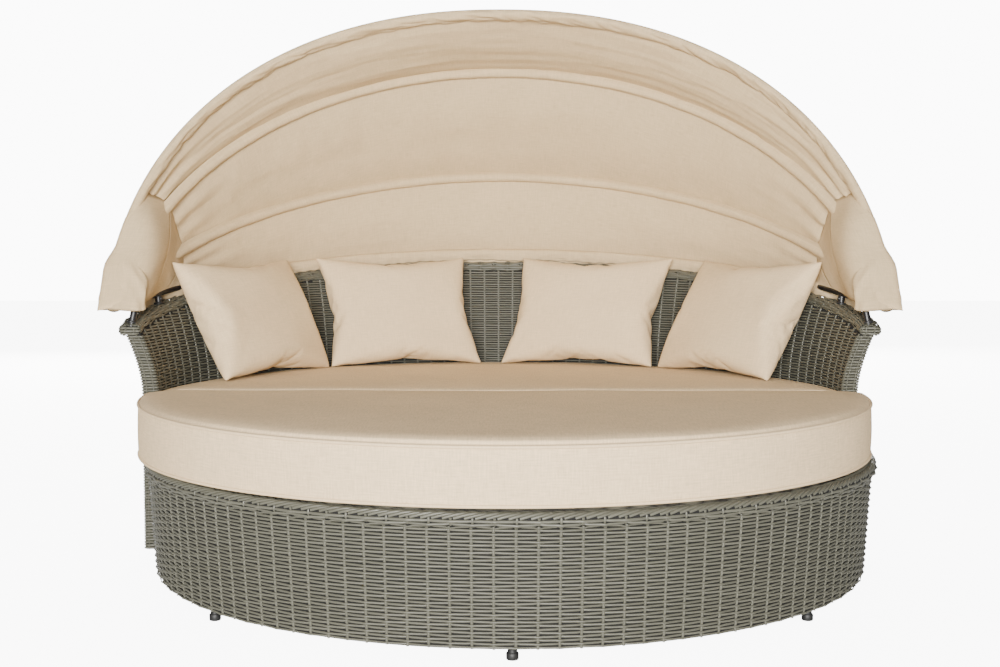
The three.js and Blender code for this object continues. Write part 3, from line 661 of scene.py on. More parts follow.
def sofa_wall_parts(sizes, inside, upper):
    """Half of the rows of the back's outer or inner skin, below or above its middle."""
    parts = Parts()
    radius = WALL_RADIUS - (WALL_THICK if inside else 0)
    sign = -1 if inside else 1
    base = WALL_THICK - SKIN_IN if inside else SKIN_IN

    def place(run, height, out):
        return wall_point(run / radius, height, base - sign * out)

    low, high = DECK_TOP - 0.004 if inside else SKIN_BOTTOM, BACK_TOP - RIM_HEIGHT
    middle = low + 2 * round(0.21 * (high - low) / sizes.pitch) * sizes.pitch
    low, high = (middle, high) if upper else (low, middle)

    def tops(run):
        top = wall_top(np.asarray(run) / radius) - RIM_HEIGHT + RIM_LAP
        return top if upper else np.minimum(top, middle)

    span = wall_span(RIM_HEIGHT - RIM_LAP, radius)
    bend = INNER_BEND if inside else BEND
    add_weave(parts, sizes, place, span, tops, low, high + SLIVER, 1.0, bend)
    return parts


def arm_end_piece(name, side, sizes, materials):
    """Close weave that wraps the front edge of the wall, from its inner face to its outer one."""
    parts = Parts()
    front, back, corner = SPLIT_Y + 0.0038, SPLIT_Y + 0.013, 0.006
    top, nominal = ARM_TOP - 0.003, WALL_THICK / 2 - 0.0026
    turn = np.linspace(0, np.pi / 2, 6)
    bend = np.stack([nominal - corner + corner * np.sin(turn), front + corner - corner * np.cos(turn)], -1)
    flat = np.linspace(-nominal + corner, nominal - corner, 9)[1:-1]
    path = np.concatenate(
        [[[-nominal, back]], bend[::-1] * np.array([-1, 1]), stacked(flat, front), bend, [[nominal, back]]]
    )
    way = distances(path)
    ahead = unit(np.gradient(path, way, axis=0))
    close = 2.4
    rim_z = ARM_TOP - RIM_HEIGHT / 2
    rim_x = wall_outer(0.0, ARM_TOP) - WALL_THICK / 2

    def place(run, height, out):
        run, height, out = np.broadcast_arrays(run / close, height, out)
        run = run if side > 0 else way[-1] - run
        a, y, along, off = (np.interp(run, way, table) for table in (*path.T, *ahead.T))
        sine = np.minimum(0.995, (np.abs(height - rim_z) / (RIM_HEIGHT / 2)) ** 1.25)
        swell = (WALL_THICK / 2 + RIM_OUT) * (1 - sine**2) ** 0.3 - 0.001
        in_rim = height > ARM_TOP - RIM_HEIGHT
        half = np.where(in_rim, swell, nominal)
        middle = np.where(in_rim, rim_x, wall_outer(0.0, height) - WALL_THICK / 2)
        x = middle + a * half / nominal + off * out
        return np.stack([side * x, y - along * out, height + 0 * x], -1)

    add_weave(parts, sizes, place, whole(way[-1] * close), level(top), SKIN_BOTTOM, top, 1.2)
    return parts.piece(name, materials)


def ottoman_point(angle, radius, z):
    angle, radius, z = np.broadcast_arrays(angle, radius, z)
    return np.stack([OTTOMAN_X + radius * np.cos(angle), OTTOMAN_Y - radius * np.sin(angle), z], -1)


def ottoman_wall_parts(sizes):
    parts = Parts()
    top = DECK_TOP - ROLL_HEIGHT + 0.003

    def place(run, height, out):
        share = (height - SKIN_BOTTOM) / (DECK_TOP - ROLL_HEIGHT - SKIN_BOTTOM)
        radius = mix(OTTOMAN_LOW, OTTOMAN_HIGH, share) - SKIN_IN + out
        return ottoman_point(run / OTTOMAN_LOW, radius, height)

    add_weave(parts, sizes, place, whole(math.pi * OTTOMAN_LOW), level(top), SKIN_BOTTOM, top)
    return parts


def flat_wall_parts(sizes, half_width, middle_x, y, out_sign, low, high):
    """Flat woven panel on one of the facing sides of the two halves."""
    parts = Parts()

    def place(run, height, out):
        return stacked(middle_x - half_width + run, y + out_sign * out, height)

    add_weave(parts, sizes, place, whole(2 * half_width), level(high), low, high)
    return parts


# Places along a rolled edge's profile, the angles where the ottoman's one starts and ends, and where its rows end.
PROFILE_STEPS, ROLL_TURNS, ROLL_ROWS_END = 240, (-85, 170), 18
PLAIT_SLANT, PLAIT_WIDE = 0.056, 0.0068


def edge_profile(half_out, half_up, start, end):
    """Rounded cross-section of a rolled edge: places, outward directions and run, from angle to angle."""
    turns = np.radians(np.linspace(start, end, PROFILE_STEPS))
    out = half_out * np.sign(np.cos(turns)) * np.abs(np.cos(turns)) ** 0.6
    up = half_up * np.sign(np.sin(turns)) * np.abs(np.sin(turns)) ** 0.8
    places = np.stack([out, up], -1)
    ways = np.gradient(places, axis=0)
    normals = unit(np.stack([ways[:, 1], -ways[:, 0]], -1))
    return places, normals, distances(places)


def edge_place(profile, radius, middle_of):
    """Maps a run along an edge, a run round its profile and a height above it to points."""
    places, normals, run = profile

    def place(along, around, out):
        along, around, out = np.broadcast_arrays(along, around, out)
        a, b, across, rise = (np.interp(around, run, table) for table in (*places.T, *normals.T))
        middle, outward = middle_of(along / radius)
        return middle + outward * (a + across * out)[..., None] + np.array([0, 0, 1.0]) * (b + rise * out)[..., None]

    return place


def rim_middle(angle):
    middle = wall_point(angle, wall_top(angle), WALL_THICK / 2)
    middle[..., 2] -= RIM_HEIGHT / 2
    return middle, np.stack([np.cos(angle), np.sin(angle), 0 * angle], -1)


def rim_parts(sizes):
    """Strands that run over the top edge of the back."""
    parts = Parts()
    profile = edge_profile(WALL_THICK / 2 + RIM_OUT, RIM_HEIGHT / 2, -75, 255)
    around = float(profile[2][-1])
    place = edge_place(profile, WALL_RADIUS, rim_middle)
    add_weave(parts, sizes, place, whole(math.pi * WALL_RADIUS), level(around), 0.0, around, 1.56)
    return parts


def roll_middle(angle):
    half = (ROLL_RADIUS - DECK_EDGE) / 2
    middle = ottoman_point(angle, ROLL_RADIUS - half - 0.001, DECK_TOP - ROLL_HEIGHT / 2 - 0.0035)
    return middle, np.stack([np.cos(angle), -np.sin(angle), 0 * angle], -1)


def roll_parts(sizes):
    """Top edge of the ottoman: a few rows of strand below a plait of slanted strands."""
    parts = Parts()
    half = (ROLL_RADIUS - DECK_EDGE) / 2
    profile = edge_profile(half - 0.003, ROLL_HEIGHT / 2 - 0.0045, *ROLL_TURNS)
    place = edge_place(profile, ROLL_RADIUS, roll_middle)
    around = profile[2][-1]
    full = math.pi * ROLL_RADIUS
    rows_top = float(np.interp(ROLL_ROWS_END, np.linspace(*ROLL_TURNS, PROFILE_STEPS), profile[2]))
    add_weave(parts, sizes, place, whole(full), level(rows_top), 0.0, rows_top, 1.25)
    # Near-black sheet under the strands of the edge: painted shade, seen between them.
    runs = np.linspace(0, full, 400)[:, None]
    levels = np.linspace(0, around, 30)
    parts.add_grid(place(runs, levels, -0.0015), stacked(runs, levels), 1)
    crest = mix(rows_top, around, 0.42)
    gap = sizes.spacing / 2
    for low, high, slant in ((rows_top, crest, -PLAIT_SLANT), (crest, around, PLAIT_SLANT)):
        for number in range(int((full - 0.06) / gap)):
            share = np.linspace(0, 1, 7)[:, None]
            run = number * gap + 0.002 + slant * (share if slant > 0 else share - 1)
            height = mix(low - 0.001, high + 0.001, share)
            ends = np.sin(np.pi * np.clip(share, 0.04, 0.96)) ** 0.35
            way = np.array([high - low, -slant]) / math.hypot(high - low, slant)
            across = STRAND_ACROSS * (PLAIT_WIDE * (0.75 + 0.25 * ends))
            out = -0.0008 + (0.0034 * STRAND_OUT + 0.0006 * math.sin(number * 2.1)) * ends
            points = place(run + way[0] * across, height + way[1] * across, out)
            parts.add_grid(points, stacked(share * 0.03, 600 + number + 0.5 + 0.9 * STRAND_ACROSS))
    return parts


PANEL_IN = 0.0058


class DAYBED_OT_sofa_wicker(Operator):
    """Weave the sofa half: curved back, arm ends, front panel and rolled edge"""

    bl_idname = "daybed.sofa_wicker"
    bl_label = "Sofa wicker"

    def execute(self, context):
        scene = context.scene
        sizes = scene.daybed_wicker
        woven = [finish_of("wicker_strand", scene), finish_of("wicker_shade_sheet", scene)]
        for face in ("outer", "inner"):
            for level in ("lower", "upper"):
                rows = sofa_wall_parts(sizes, face == "inner", level == "upper")
                settle(rows.piece(f"back_{face}_weave_{level}", woven), "sofa", "wicker", "sofa_weave")
        for name, side in SIDES.items():
            piece = arm_end_piece(f"arm_wrap_{name}", side, sizes, woven)
            settle(piece, "sofa", "wicker", f"arm_end_{name}")
        half_width, y = WALL_RADIUS - WALL_THICK - CLEAR, SPLIT_Y + PANEL_IN
        panel = flat_wall_parts(sizes, half_width, 0, y, -1, SKIN_BOTTOM, DECK_TOP - 0.012)
        settle(panel.piece("sofa_front_weave", woven), "sofa", "wicker", "sofa_front_panel")
        settle(rim_parts(sizes).piece("back_rolled_edge", woven), "sofa", "braid", "sofa_rim")
        return {"FINISHED"}


class DAYBED_OT_ottoman_wicker(Operator):
    """Weave the ottoman half: curved wall, back panel and rolled edge"""

    bl_idname = "daybed.ottoman_wicker"
    bl_label = "Ottoman wicker"

    def execute(self, context):
        scene = context.scene
        sizes = scene.daybed_wicker
        woven = [finish_of("wicker_strand", scene), finish_of("wicker_shade_sheet", scene)]
        settle(ottoman_wall_parts(sizes).piece("ottoman_wall_weave", woven), "ottoman", "wicker", "ottoman_weave")
        half_width, y = DECK_EDGE - CLEAR, OTTOMAN_Y - PANEL_IN
        panel = flat_wall_parts(sizes, half_width, OTTOMAN_X, y, 1, SKIN_BOTTOM, DECK_TOP - 0.001)
        settle(panel.piece("ottoman_back_weave", woven), "ottoman", "wicker", "ottoman_back_panel")
        settle(roll_parts(sizes).piece("ottoman_rolled_edge", woven), "ottoman", "braid", "ottoman_roll")
        return {"FINISHED"}


# Frame, decks and feet


# Radius and height of the places down a glide's outline.
GLIDE = np.array(
    [(0, 0), (0.0098, 0), (0.0114, 0.0006), (0.0123, 0.0022), (0.0125, 0.008), (0.0125, 0.013), (0.0108, 0.015),
     (0.0095, 0.0165), (0.0095, 0.0297), (0, 0.0297)]
)


def foot_piece(name, centre, material):
    """Turned glide with a rounded sole and a neck."""
    radii, heights = GLIDE[:, :1], GLIDE[:, 1:]
    turns = np.arange(28) * 2 * np.pi / 28
    points = stacked(centre.x + radii * np.cos(turns), centre.y + radii * np.sin(turns), heights)
    parts = Parts()
    parts.add_grid(points, stacked(heights, GLIDE[:, 0].max() * turns), round_columns=True)
    return parts.piece(name, [material])


class DAYBED_OT_base(Operator):
    """Finish the inner frames and decks, and turn the foot glides"""

    bl_idname = "daybed.base"
    bl_label = "Frames and feet"

    def execute(self, context):
        scene = context.scene
        for node, key in (
            ("sofa_frame", "frame_coat"),
            ("ottoman_frame", "frame_coat"),
            ("sofa_deck", "deck_webbing"),
            ("ottoman_deck", "deck_webbing"),
        ):
            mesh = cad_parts[node].data
            mesh.materials.clear()
            mesh.materials.append(finish_of(key, scene))
        for body in ("sofa", "ottoman"):
            for number in range(1, 6):
                node = f"{body}_foot_{number}"
                low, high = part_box(node)
                glide = foot_piece(f"{body}_glide_{number}", (low + high) / 2, finish_of("foot_glide", scene))
                settle(glide, body, "glide", node)
        return {"FINISHED"}


# Seat cushions


def cushion_outline(radius, count):
    """Half disc with rounded corners at the ends of its flat side, evenly spaced points."""
    corner = CUSHION_CORNER
    inner = radius - corner
    turn = math.asin(corner / inner)
    end_x = inner * math.cos(turn)
    first = np.linspace(-np.pi / 2, turn, 20)
    main = np.linspace(turn, np.pi - turn, 400)[1:-1]
    last = np.linspace(np.pi - turn, 1.5 * np.pi, 20)
    straight = np.linspace(-end_x, end_x, 200)[1:-1]
    rough = np.concatenate(
        [
            np.stack([end_x + corner * np.cos(first), corner + corner * np.sin(first)], -1),
            np.stack([radius * np.cos(main), radius * np.sin(main)], -1),
            np.stack([-end_x + corner * np.cos(last), corner + corner * np.sin(last)], -1),
            np.stack([straight, 0 * straight], -1),
        ]
    )
    loop = np.vstack([rough, rough[:1]])
    run = distances(loop)
    even = np.arange(count) * run[-1] / count
    return np.stack([np.interp(even, run, loop[:, k]) for k in (0, 1)], -1), run[-1]


# How far in the rings of a cushion's top lie, where its radius is TOP_RADIUS.
TOP_RADIUS = 0.9
TOP_INSETS = (
    0.014, 0.022, 0.034, 0.05, 0.07, 0.1, 0.14, 0.19, 0.25, 0.32, 0.4, 0.48, 0.56, 0.64, 0.72, 0.8, 0.86, 0.887
)


def cushion_pieces(name, radius, centre, side, sizes, scene):
    """Boxed cushion with a crowned top, drawn-in sides and piping at both edges."""
    count = 560
    outline, around = cushion_outline(radius, count)
    run = np.arange(count) * around / count
    ahead = unit(np.roll(outline, -1, 0) - np.roll(outline, 1, 0))
    outward = np.stack([ahead[:, 1], -ahead[:, 0]], -1)
    middle = np.array([0, 4 * radius / (3 * np.pi)])
    low, high = CUSHION_BOTTOM, CUSHION_BOTTOM + CUSHION_THICK
    drawn = 0.0065 * outline[:, 1] / radius
    edge_z = high - drawn
    pipe = 0.005
    gather = np.cos(run * 2 * np.pi / 0.031 + 2.2 * hills(run / 0.09, 0.3, 5)) * (0.6 + 0.4 * hills(run / 0.15, 1.7, 6))
    rows, places = [], []

    def ring(inset, z, pucker=0.0, run_up=0.0):
        if np.max(inset) < 0.02:
            flat = outline - outward * (inset + pucker * sizes.pucker * gather)[:, None]
        else:
            flat = middle + (outline - middle) * (1 - inset / radius)[:, None]
        rows.append(np.column_stack([flat, z]))
        places.append(run_up)

    flat_z = np.full(count, low)
    for share in (0.985, 0.75, 0.5, 0.25, 0.08, 0.03):
        ring(np.full(count, share * radius), flat_z, 0, (1 - share) * radius)
    for inset, rise in ((0.008, 0.0004), (0.0045, 0.002), (0.003, 0.0045)):
        ring(np.full(count, inset), flat_z + rise, 0.3, radius)
    for share in np.linspace(0.08, 0.92, 15):
        belly = math.sin(math.pi * share) ** 0.7
        edge = math.exp(-min(share, 1 - share) / 0.12)
        soft = 0.0012 * hills(run / 0.16, share * 2.0, 9)
        inset = 0.0042 - 0.0030 * belly - soft * belly
        ring(inset, mix(low, edge_z, share), 1.6 * edge, radius + share * CUSHION_THICK)
    for inset, drop in ((0.003, 0.0045), (0.0045, 0.002), (0.0085, 0.0002)):
        ring(np.full(count, inset), edge_z - drop, 0.3, radius + CUSHION_THICK)
    for inset in TOP_INSETS:
        inset = inset * radius / TOP_RADIUS
        rise = (sizes.crown + drawn) * (1 - math.exp(-(inset - 0.008) / 0.028))
        flat = middle + (outline - middle) * (1 - inset / radius)
        soft = 0.0016 * hills(flat[:, 0] / 0.21, flat[:, 1] / 0.19, 11) * min(1, inset / 0.05)
        dips = 0.9 * sizes.pucker * gather * math.exp(-inset / 0.022)
        ring(np.full(count, inset), edge_z + rise + soft - sizes.crown * 0.12 + dips, 0.0, 2 * radius + inset)
    rows = np.array(rows)
    if side < 0:
        rows[..., 1] *= -1
    rows[..., :2] += np.array(centre)
    parts = Parts()
    faces = grid_faces(len(rows), count, round_columns=True)
    uv = rows[..., :2].copy()
    wall_rows = slice(8, 26)
    uv[wall_rows, :, 0] = run
    uv[wall_rows, :, 1] = np.array(places)[wall_rows, None]
    parts.add(rows, faces[:, ::-1] if side < 0 else faces, uv)
    fan = np.array([[i, (i + 1) % count, count] for i in range(count)])
    for last in (rows[0], rows[-1]):
        closed = np.vstack([last, last.mean(0)])
        parts.add(closed, fan, closed[:, :2])
    body = parts.piece(name, [finish_of("seat_linen", scene)])
    cords = Parts()
    for z in (low + pipe - 0.0006 + 0 * edge_z, edge_z - pipe + 0.0014):
        path = outline - outward * 0.0034
        path = np.column_stack([path, z + 0.0004 * hills(run / 0.12, float(z[0]), 8)])
        if side < 0:
            path[:, 1] *= -1
        path[:, :2] += np.array(centre)
        add_tube(cords, path, sizes.piping, 10, closed=True)
    piping = cords.piece(f"{name}_piping", [finish_of("seat_piping", scene)])
    return body, piping


class DAYBED_OT_seat_cushions(Operator):
    """Make the two half-round seat cushions and their piping"""

    bl_idname = "daybed.seat_cushions"
    bl_label = "Seat cushions"

    def execute(self, context):
        scene = context.scene
        sizes = scene.daybed_seat
        rear_radius = WALL_RADIUS - WALL_THICK - 0.003
        for name, radius, centre, side, body, node in (
            ("seat_rear", rear_radius, (0, SPLIT_Y + 0.00015), 1, "rear_seat", "rear_cushion"),
            ("seat_front", 0.900, (FRONT_CUSHION_X, SPLIT_Y - 0.00015), -1, "front_seat", "front_cushion"),
        ):
            cover, piping = cushion_pieces(name, radius, centre, side, sizes, scene)
            settle(cover, body, "seat_fabric", node)
            settle(piping, body, "seat_fabric")
        return {"FINISHED"}


# Pillows

# Side, turn and lean in degrees, then how far the corners slump along X: top and bottom, left and right.
PILLOW_SETS = {
    "pillow_outer_left": (-1, 62.0, 23.0, ((-0.052, -0.020), (-0.016, -0.004))),
    "pillow_inner_left": (-1, 17.0, 21.0, ((-0.044, -0.036), (-0.020, -0.014))),
    "pillow_inner_right": (1, 17.0, 21.0, ((-0.006, 0.010), (-0.040, -0.030))),
    "pillow_outer_right": (1, 62.0, 23.0, ((-0.004, 0.036), (-0.034, -0.002))),
}


def pillow_shape(sizes, columns, rows, seed):
    """Two sewn squares, a little apart, before filling. Returns points, faces and places."""
    u, v = np.meshgrid(np.linspace(-1, 1, columns), np.linspace(-1, 1, rows), indexing="ij")
    full = ((1 - u**4) * (1 - v**4)) ** 0.5
    width, height = sizes.width * 1.07, sizes.height * 1.08
    x, z = u * width / 2, v * height / 2
    points, uv = [], []
    index = np.zeros((2, columns, rows), int)
    count = 0
    edge = (np.abs(u) == 1) | (np.abs(v) == 1)
    for face, sign in enumerate((-1, 1)):
        lumps = 0.004 * hills(u * 3 + 5, v * 3 + 9 * face, seed)
        for i in range(columns):
            for j in range(rows):
                if face and edge[i, j]:
                    index[1, i, j] = index[0, i, j]
                    continue
                index[face, i, j] = count
                points.append((x[i, j], sign * (0.012 * full[i, j] + lumps[i, j] * full[i, j]), z[i, j]))
                uv.append((x[i, j], z[i, j]))
                count += 1
    faces = []
    for face in (0, 1):
        k = index[face]
        quads = np.stack([k[:-1, :-1], k[1:, :-1], k[1:, 1:], k[:-1, 1:]], -1).reshape(-1, 4)
        faces.append(quads if face == 0 else quads[:, ::-1])
    return np.array(points), np.concatenate(faces), np.array(uv)


CLOTH_SETTINGS = {
    "quality": 7,
    "mass": 0.25,
    "tension_stiffness": 35,
    "compression_stiffness": 12,
    "shear_stiffness": 12,
    "bending_stiffness": 0.12,
    "tension_damping": 12,
    "compression_damping": 12,
    "shear_damping": 8,
    "air_damping": 3,
    "use_pressure": True,
}


def points_of(mesh):
    points = np.zeros(len(mesh.vertices) * 3)
    mesh.vertices.foreach_get("co", points)
    return points.reshape(-1, 3)


def move_points(piece, points):
    piece.data.vertices.foreach_set("co", points.ravel())
    piece.data.update()


def fill_with_cloth(piece, pressure, steps, thickness):
    """Swells a closed cover by Blender's cloth until it is thick enough, and returns its points."""
    cloth = piece.modifiers.new("Filling", "CLOTH")
    for name, value in CLOTH_SETTINGS.items():
        setattr(cloth.settings, name, value)
    cloth.settings.uniform_pressure_force = pressure
    cloth.settings.effector_weights.gravity = 0
    cloth.collision_settings.use_collision = False
    cloth.collision_settings.use_self_collision = False
    scene = bpy.context.scene
    cloth.point_cache.frame_start = 1
    cloth.point_cache.frame_end = steps
    for number in range(1, steps + 1):
        scene.frame_set(number)
        points = points_of(piece.evaluated_get(bpy.context.evaluated_depsgraph_get()).data)
        if np.ptp(points[:, 1]) > thickness:
            break
    piece.modifiers.remove(cloth)
    scene.frame_set(1)
    return points


def subdivide(piece):
    """Applies smooth subdivision to a piece's mesh."""
    modifier = piece.modifiers.new("Smooth", "SUBSURF")
    modifier.levels = modifier.render_levels = 1
    graph = bpy.context.evaluated_depsgraph_get()
    mesh = bpy.data.meshes.new_from_object(piece.evaluated_get(graph))
    piece.modifiers.clear()
    old = piece.data
    piece.data = mesh
    bpy.data.meshes.remove(old)


def pillow_piece(name, sizes, seed, material):
    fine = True
    columns, rows = (57, 45) if fine else (41, 33)
    points, faces, uv = pillow_shape(sizes, columns, rows, seed)
    piece = make_piece(name, points, faces, [material], uv)
    if fine:
        points = fill_with_cloth(piece, sizes.pressure, sizes.steps, sizes.thickness)
    else:
        u, v = uv[:, 0] / (sizes.width * 0.535), uv[:, 1] / (sizes.height * 0.54)
        full = np.clip((1 - u**4) * (1 - v**4), 0, 1) ** 0.55
        points[:, 0] *= 1 - 0.06 * (1 - v * v)
        points[:, 2] *= 1 - 0.06 * (1 - u * u)
        points[:, 1] = np.sign(points[:, 1]) * full * sizes.thickness / 2
    low, high = points.min(0), points.max(0)
    points -= (low + high) / 2
    points *= np.array([sizes.width, sizes.thickness, sizes.height]) / (high - low)
    move_points(piece, points)
    subdivide(piece)
    return piece


def lay_pillow(piece, side, yaw, lean, slump, node):
    """Leans a pillow back, turns it to the wall, sets it where its solid stands and lets its corners slump."""
    points = points_of(piece.data)
    low = points[:, 2].min()
    u, v = ((points[:, k] / np.ptp(points[:, k]) + 0.5).clip(0, 1) for k in (0, 2))
    drift = mix(mix(slump[1][0], slump[1][1], u), mix(slump[0][0], slump[0][1], u), v)
    rest = np.clip((points[:, 2] - low) / 0.05, 0, 1)
    points[:, 2] += 0.006 * (1 - rest) ** 2
    turn = Matrix.Rotation(-side * math.radians(yaw), 3, "Z") @ Matrix.Rotation(-math.radians(lean), 3, "X")
    points = points @ np.array(turn).T
    corner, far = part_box(node)
    middle = np.array((corner + far) / 2)
    points += middle - (points.min(0) + points.max(0)) / 2
    points[:, 0] += drift
    points[:, 2] += corner.z - points[:, 2].min()
    press = corner.z + 0.0015
    under = np.minimum(points[:, 2], press)
    points[:, 2] = np.where(points[:, 2] < press, mix(press, under, 0.3), points[:, 2])
    move_points(piece, points)


class DAYBED_OT_pillows(Operator):
    """Fill the four loose pillows and lean them on the back"""

    bl_idname = "daybed.pillows"
    bl_label = "Pillows"

    def execute(self, context):
        scene = context.scene
        sizes = scene.daybed_pillow
        for seed, (node, (side, yaw, lean, slump)) in enumerate(PILLOW_SETS.items()):
            linen = finish_of("pillow_linen", scene)
            piece = pillow_piece(node.replace("pillow", "filled_pillow"), sizes, 20 + seed, linen)
            lay_pillow(piece, side, yaw, lean, slump, node)
            settle(piece, node, "pillow_fabric", node)
        return {"FINISHED"}


# Canopy metalwork


def bow_at(name, t):
    """Points on a bow, for shares t from the right pivot over the top to the left one."""
    if name == "rail":
        return rail_at(t)
    angle = np.pi * np.asarray(t, float)
    across = np.cos(angle)
    power = 2 / BOW_POWER[name]
    x = np.sign(across) * np.abs(across) ** power * HUB_X[name]
    along = np.maximum(0, np.sin(angle)) ** power * BOW_REACH[name]
    tilt = math.radians(BOW_LIFT[name])
    return np.stack([x, PIVOT_Y + along * math.cos(tilt), PIVOT_Z + along * math.sin(tilt)], -1)


# The rail: radius and height at the back, how soon it turns out to the pivots, and how much flatter it is.
RAIL_RADIUS, RAIL_Z, RAIL_EASE, RAIL_IN = 0.936, 0.7725, 0.114, 0.02155


def rail_at(t):
    angle = np.pi * np.asarray(t, float)
    from_end = np.minimum(angle, np.pi - angle) * RAIL_RADIUS / RAIL_EASE
    radius = mix(RAIL_RADIUS, HUB_X["rail"], np.exp(-(from_end**2)))
    rise = np.maximum(0, np.sin(angle)) ** 1.3
    z = mix(PIVOT_Z, RAIL_Z, rise)
    return np.stack([radius * np.cos(angle), PIVOT_Y + (radius - RAIL_IN) * np.sin(angle), z], -1)


def bow_sides(name, t):
    """Directions at points of a bow: out of the canopy, and towards its front."""
    t = np.asarray(t, float)
    ahead = unit(bow_at(name, np.clip(t + 0.004, 0, 1)) - bow_at(name, np.clip(t - 0.004, 0, 1)))
    if name == "rail":
        front = np.broadcast_to(np.array([0, 0, 1.0]), ahead.shape)
    else:
        tilt = math.radians(BOW_LIFT[name])
        front = np.broadcast_to(np.array([0, -math.sin(tilt), math.cos(tilt)]), ahead.shape)
    out = unit(np.cross(ahead, front))
    return out, np.cross(out, ahead) if name == "rail" else front


def even_shares(name, start, end, count):
    """Shares t between two places on a bow that are evenly spaced along it."""
    t = np.linspace(start, end, 1200)
    run = distances(bow_at(name, t))
    return np.interp(np.linspace(0, run[-1], count), run, t)


def add_turned(parts, x, sign, profile, sides=28):
    """Turned part on the pivots' line. The profile holds pairs of place along X and radius."""
    turns = np.arange(sides) * 2 * np.pi / sides
    profile = np.asarray(profile, float)
    xs, radii = sign * (x + profile[:, :1]), profile[:, 1:]
    points = stacked(xs, PIVOT_Y + radii * np.cos(turns), PIVOT_Z + radii * np.sin(turns))
    faces = grid_faces(len(profile), sides, round_columns=True)
    parts.add(points, faces if sign > 0 else faces[:, ::-1], stacked(xs, radii * turns))


def hub_profile():
    half, bore, rim, edge = 0.010, 0.0043, 0.013, 0.0012
    corners = [(-half, bore), (-half, rim - edge), (-half + edge, rim)]
    return corners + [(half - edge, rim), (half, rim - edge), (half, bore), corners[0]]


STAND_RADIUS, BOLT_RADIUS = 0.009, 0.0055
HUB_REACH = 0.0103


def bow_piece(name, material):
    parts = Parts()
    add_tube(parts, bow_at(name, even_shares(name, 0.004, 0.996, 260)), TUBE, 20)
    for sign in (1, -1):
        add_turned(parts, HUB_X[name], sign, hub_profile())
    return parts.piece("rail_tube" if name == "rail" else f"bow_tube_{name}", [material])


def stand_parts(start, end):
    """Straight tube with a flanged foot where it meets the rolled edge."""
    parts = Parts()
    start, end = np.asarray(start, float), np.asarray(end, float)
    add_tube(parts, start + (end - start) * np.linspace(0, 1, 12)[:, None], STAND_RADIUS, 20)
    way = (end - start) / np.linalg.norm(end - start)
    collar = start + way * 0.0135 + way * np.linspace(0, 0.006, 4)[:, None]
    add_tube(parts, collar, np.array([0.0125, 0.0135, 0.0135, 0.0105]), 24)
    return parts


def bolt_head(parts, place, normal):
    """Low domed screw head that faces along normal."""
    normal = np.asarray(normal, float) / np.linalg.norm(normal)
    path = np.asarray(place, float) + normal * np.array([-0.002, 0.0012, 0.0026, 0.0033])[:, None]
    add_tube(parts, path, BOLT_RADIUS * np.array([1, 1, 0.75, 0.2]), 16)


def grip_parts(start, sign):
    """Round knob with ten scallops round its rim."""
    parts = Parts()
    turns = np.arange(60) * 2 * np.pi / 60
    levels = [
        (start, 0.0), (start, 0.0128), (start + 0.0012, 0.0142), (start + 0.0058, 0.0142), (start + 0.007, 0.0128),
        (start + 0.007, 0.0046),
    ]
    rows = []
    for x, radius in levels:
        scallop = radius * (1 + 0.055 * np.cos(10 * turns) * (radius > 0.01))
        rows.append(stacked(sign * x, PIVOT_Y + scallop * np.cos(turns), PIVOT_Z + scallop * np.sin(turns)))
    rows = np.array(rows)
    faces = grid_faces(len(rows), 60, round_columns=True)
    parts.add(rows, faces if sign > 0 else faces[:, ::-1], rows[..., 1:])
    return parts


def pin_parts(inner, outer, sign):
    """Bolt through a stack of hubs, with a six-sided head inside."""
    parts = Parts()
    add_turned(parts, 0.0, sign, [
        (inner - 0.003, 0.0), (inner - 0.003, 0.004), (outer + 0.0062, 0.004), (outer + 0.007, 0.0032),
        (outer + 0.007, 0.0),
    ])
    add_turned(parts, 0.0, sign, [
        (inner - 0.007, 0.0), (inner - 0.007, 0.0066), (inner - 0.0062, 0.0078), (inner - 0.0008, 0.0078),
        (inner, 0.0072), (inner, 0.0),
    ], 6)
    return parts


class DAYBED_OT_canopy_metal(Operator):
    """Bend the bows and the rail, and set the struts, posts, bolts and knobs"""

    bl_idname = "daybed.canopy_metal"
    bl_label = "Canopy metalwork"

    def execute(self, context):
        scene = context.scene
        black, bolt = finish_of("black_coat", scene), finish_of("bolt_black", scene)
        for name in ("front", "middle", "rear"):
            settle(bow_piece(name, black), BOW_BODY[name], "black_metal", f"bow_{name}")
        settle(bow_piece("rail", black), "sofa", "black_metal", "canopy_rail")
        for name, sign in SIDES.items():
            foot = rim_middle(0.0093 / WALL_RADIUS)[0] * np.array([sign, 1, 1])
            top = np.array([sign * HUB_X["rail"], PIVOT_Y, PIVOT_Z - 0.010])
            strut = stand_parts(foot, top).piece(f"arm_strut_{name}", [black])
            settle(strut, "sofa", "black_metal", f"rail_strut_{name}")
            inner, outer = HUB_X["rail"] - HUB_REACH, HUB_X["front"] + HUB_REACH
            pin = pin_parts(inner, outer, sign).piece(f"pivot_pin_{name}", [bolt])
            settle(pin, "sofa", "hardware", f"pivot_bolt_{name}")
            grip = grip_parts(outer + CLEAR, sign).piece(f"pivot_grip_{name}", [bolt])
            settle(grip, "sofa", "hardware", f"pivot_knob_{name}")
        for number, bearing in enumerate((12, 58, 122, 168)):
            top = rail_at(bearing / 180)
            angle = math.atan2(top[1] - WALL_Y, top[0])
            parts = stand_parts(rim_middle(angle)[0], top)
            towards = np.array([-math.cos(angle), -math.sin(angle), 0.1])
            bolt_head(parts, top + towards * TUBE - np.array([0, 0, 0.016]), towards)
            post = parts.piece(f"rail_stand_{number + 1}", [black])
            settle(post, "sofa", "black_metal", f"rail_post_{number + 1}")
        return {"FINISHED"}


# Canopy cloth

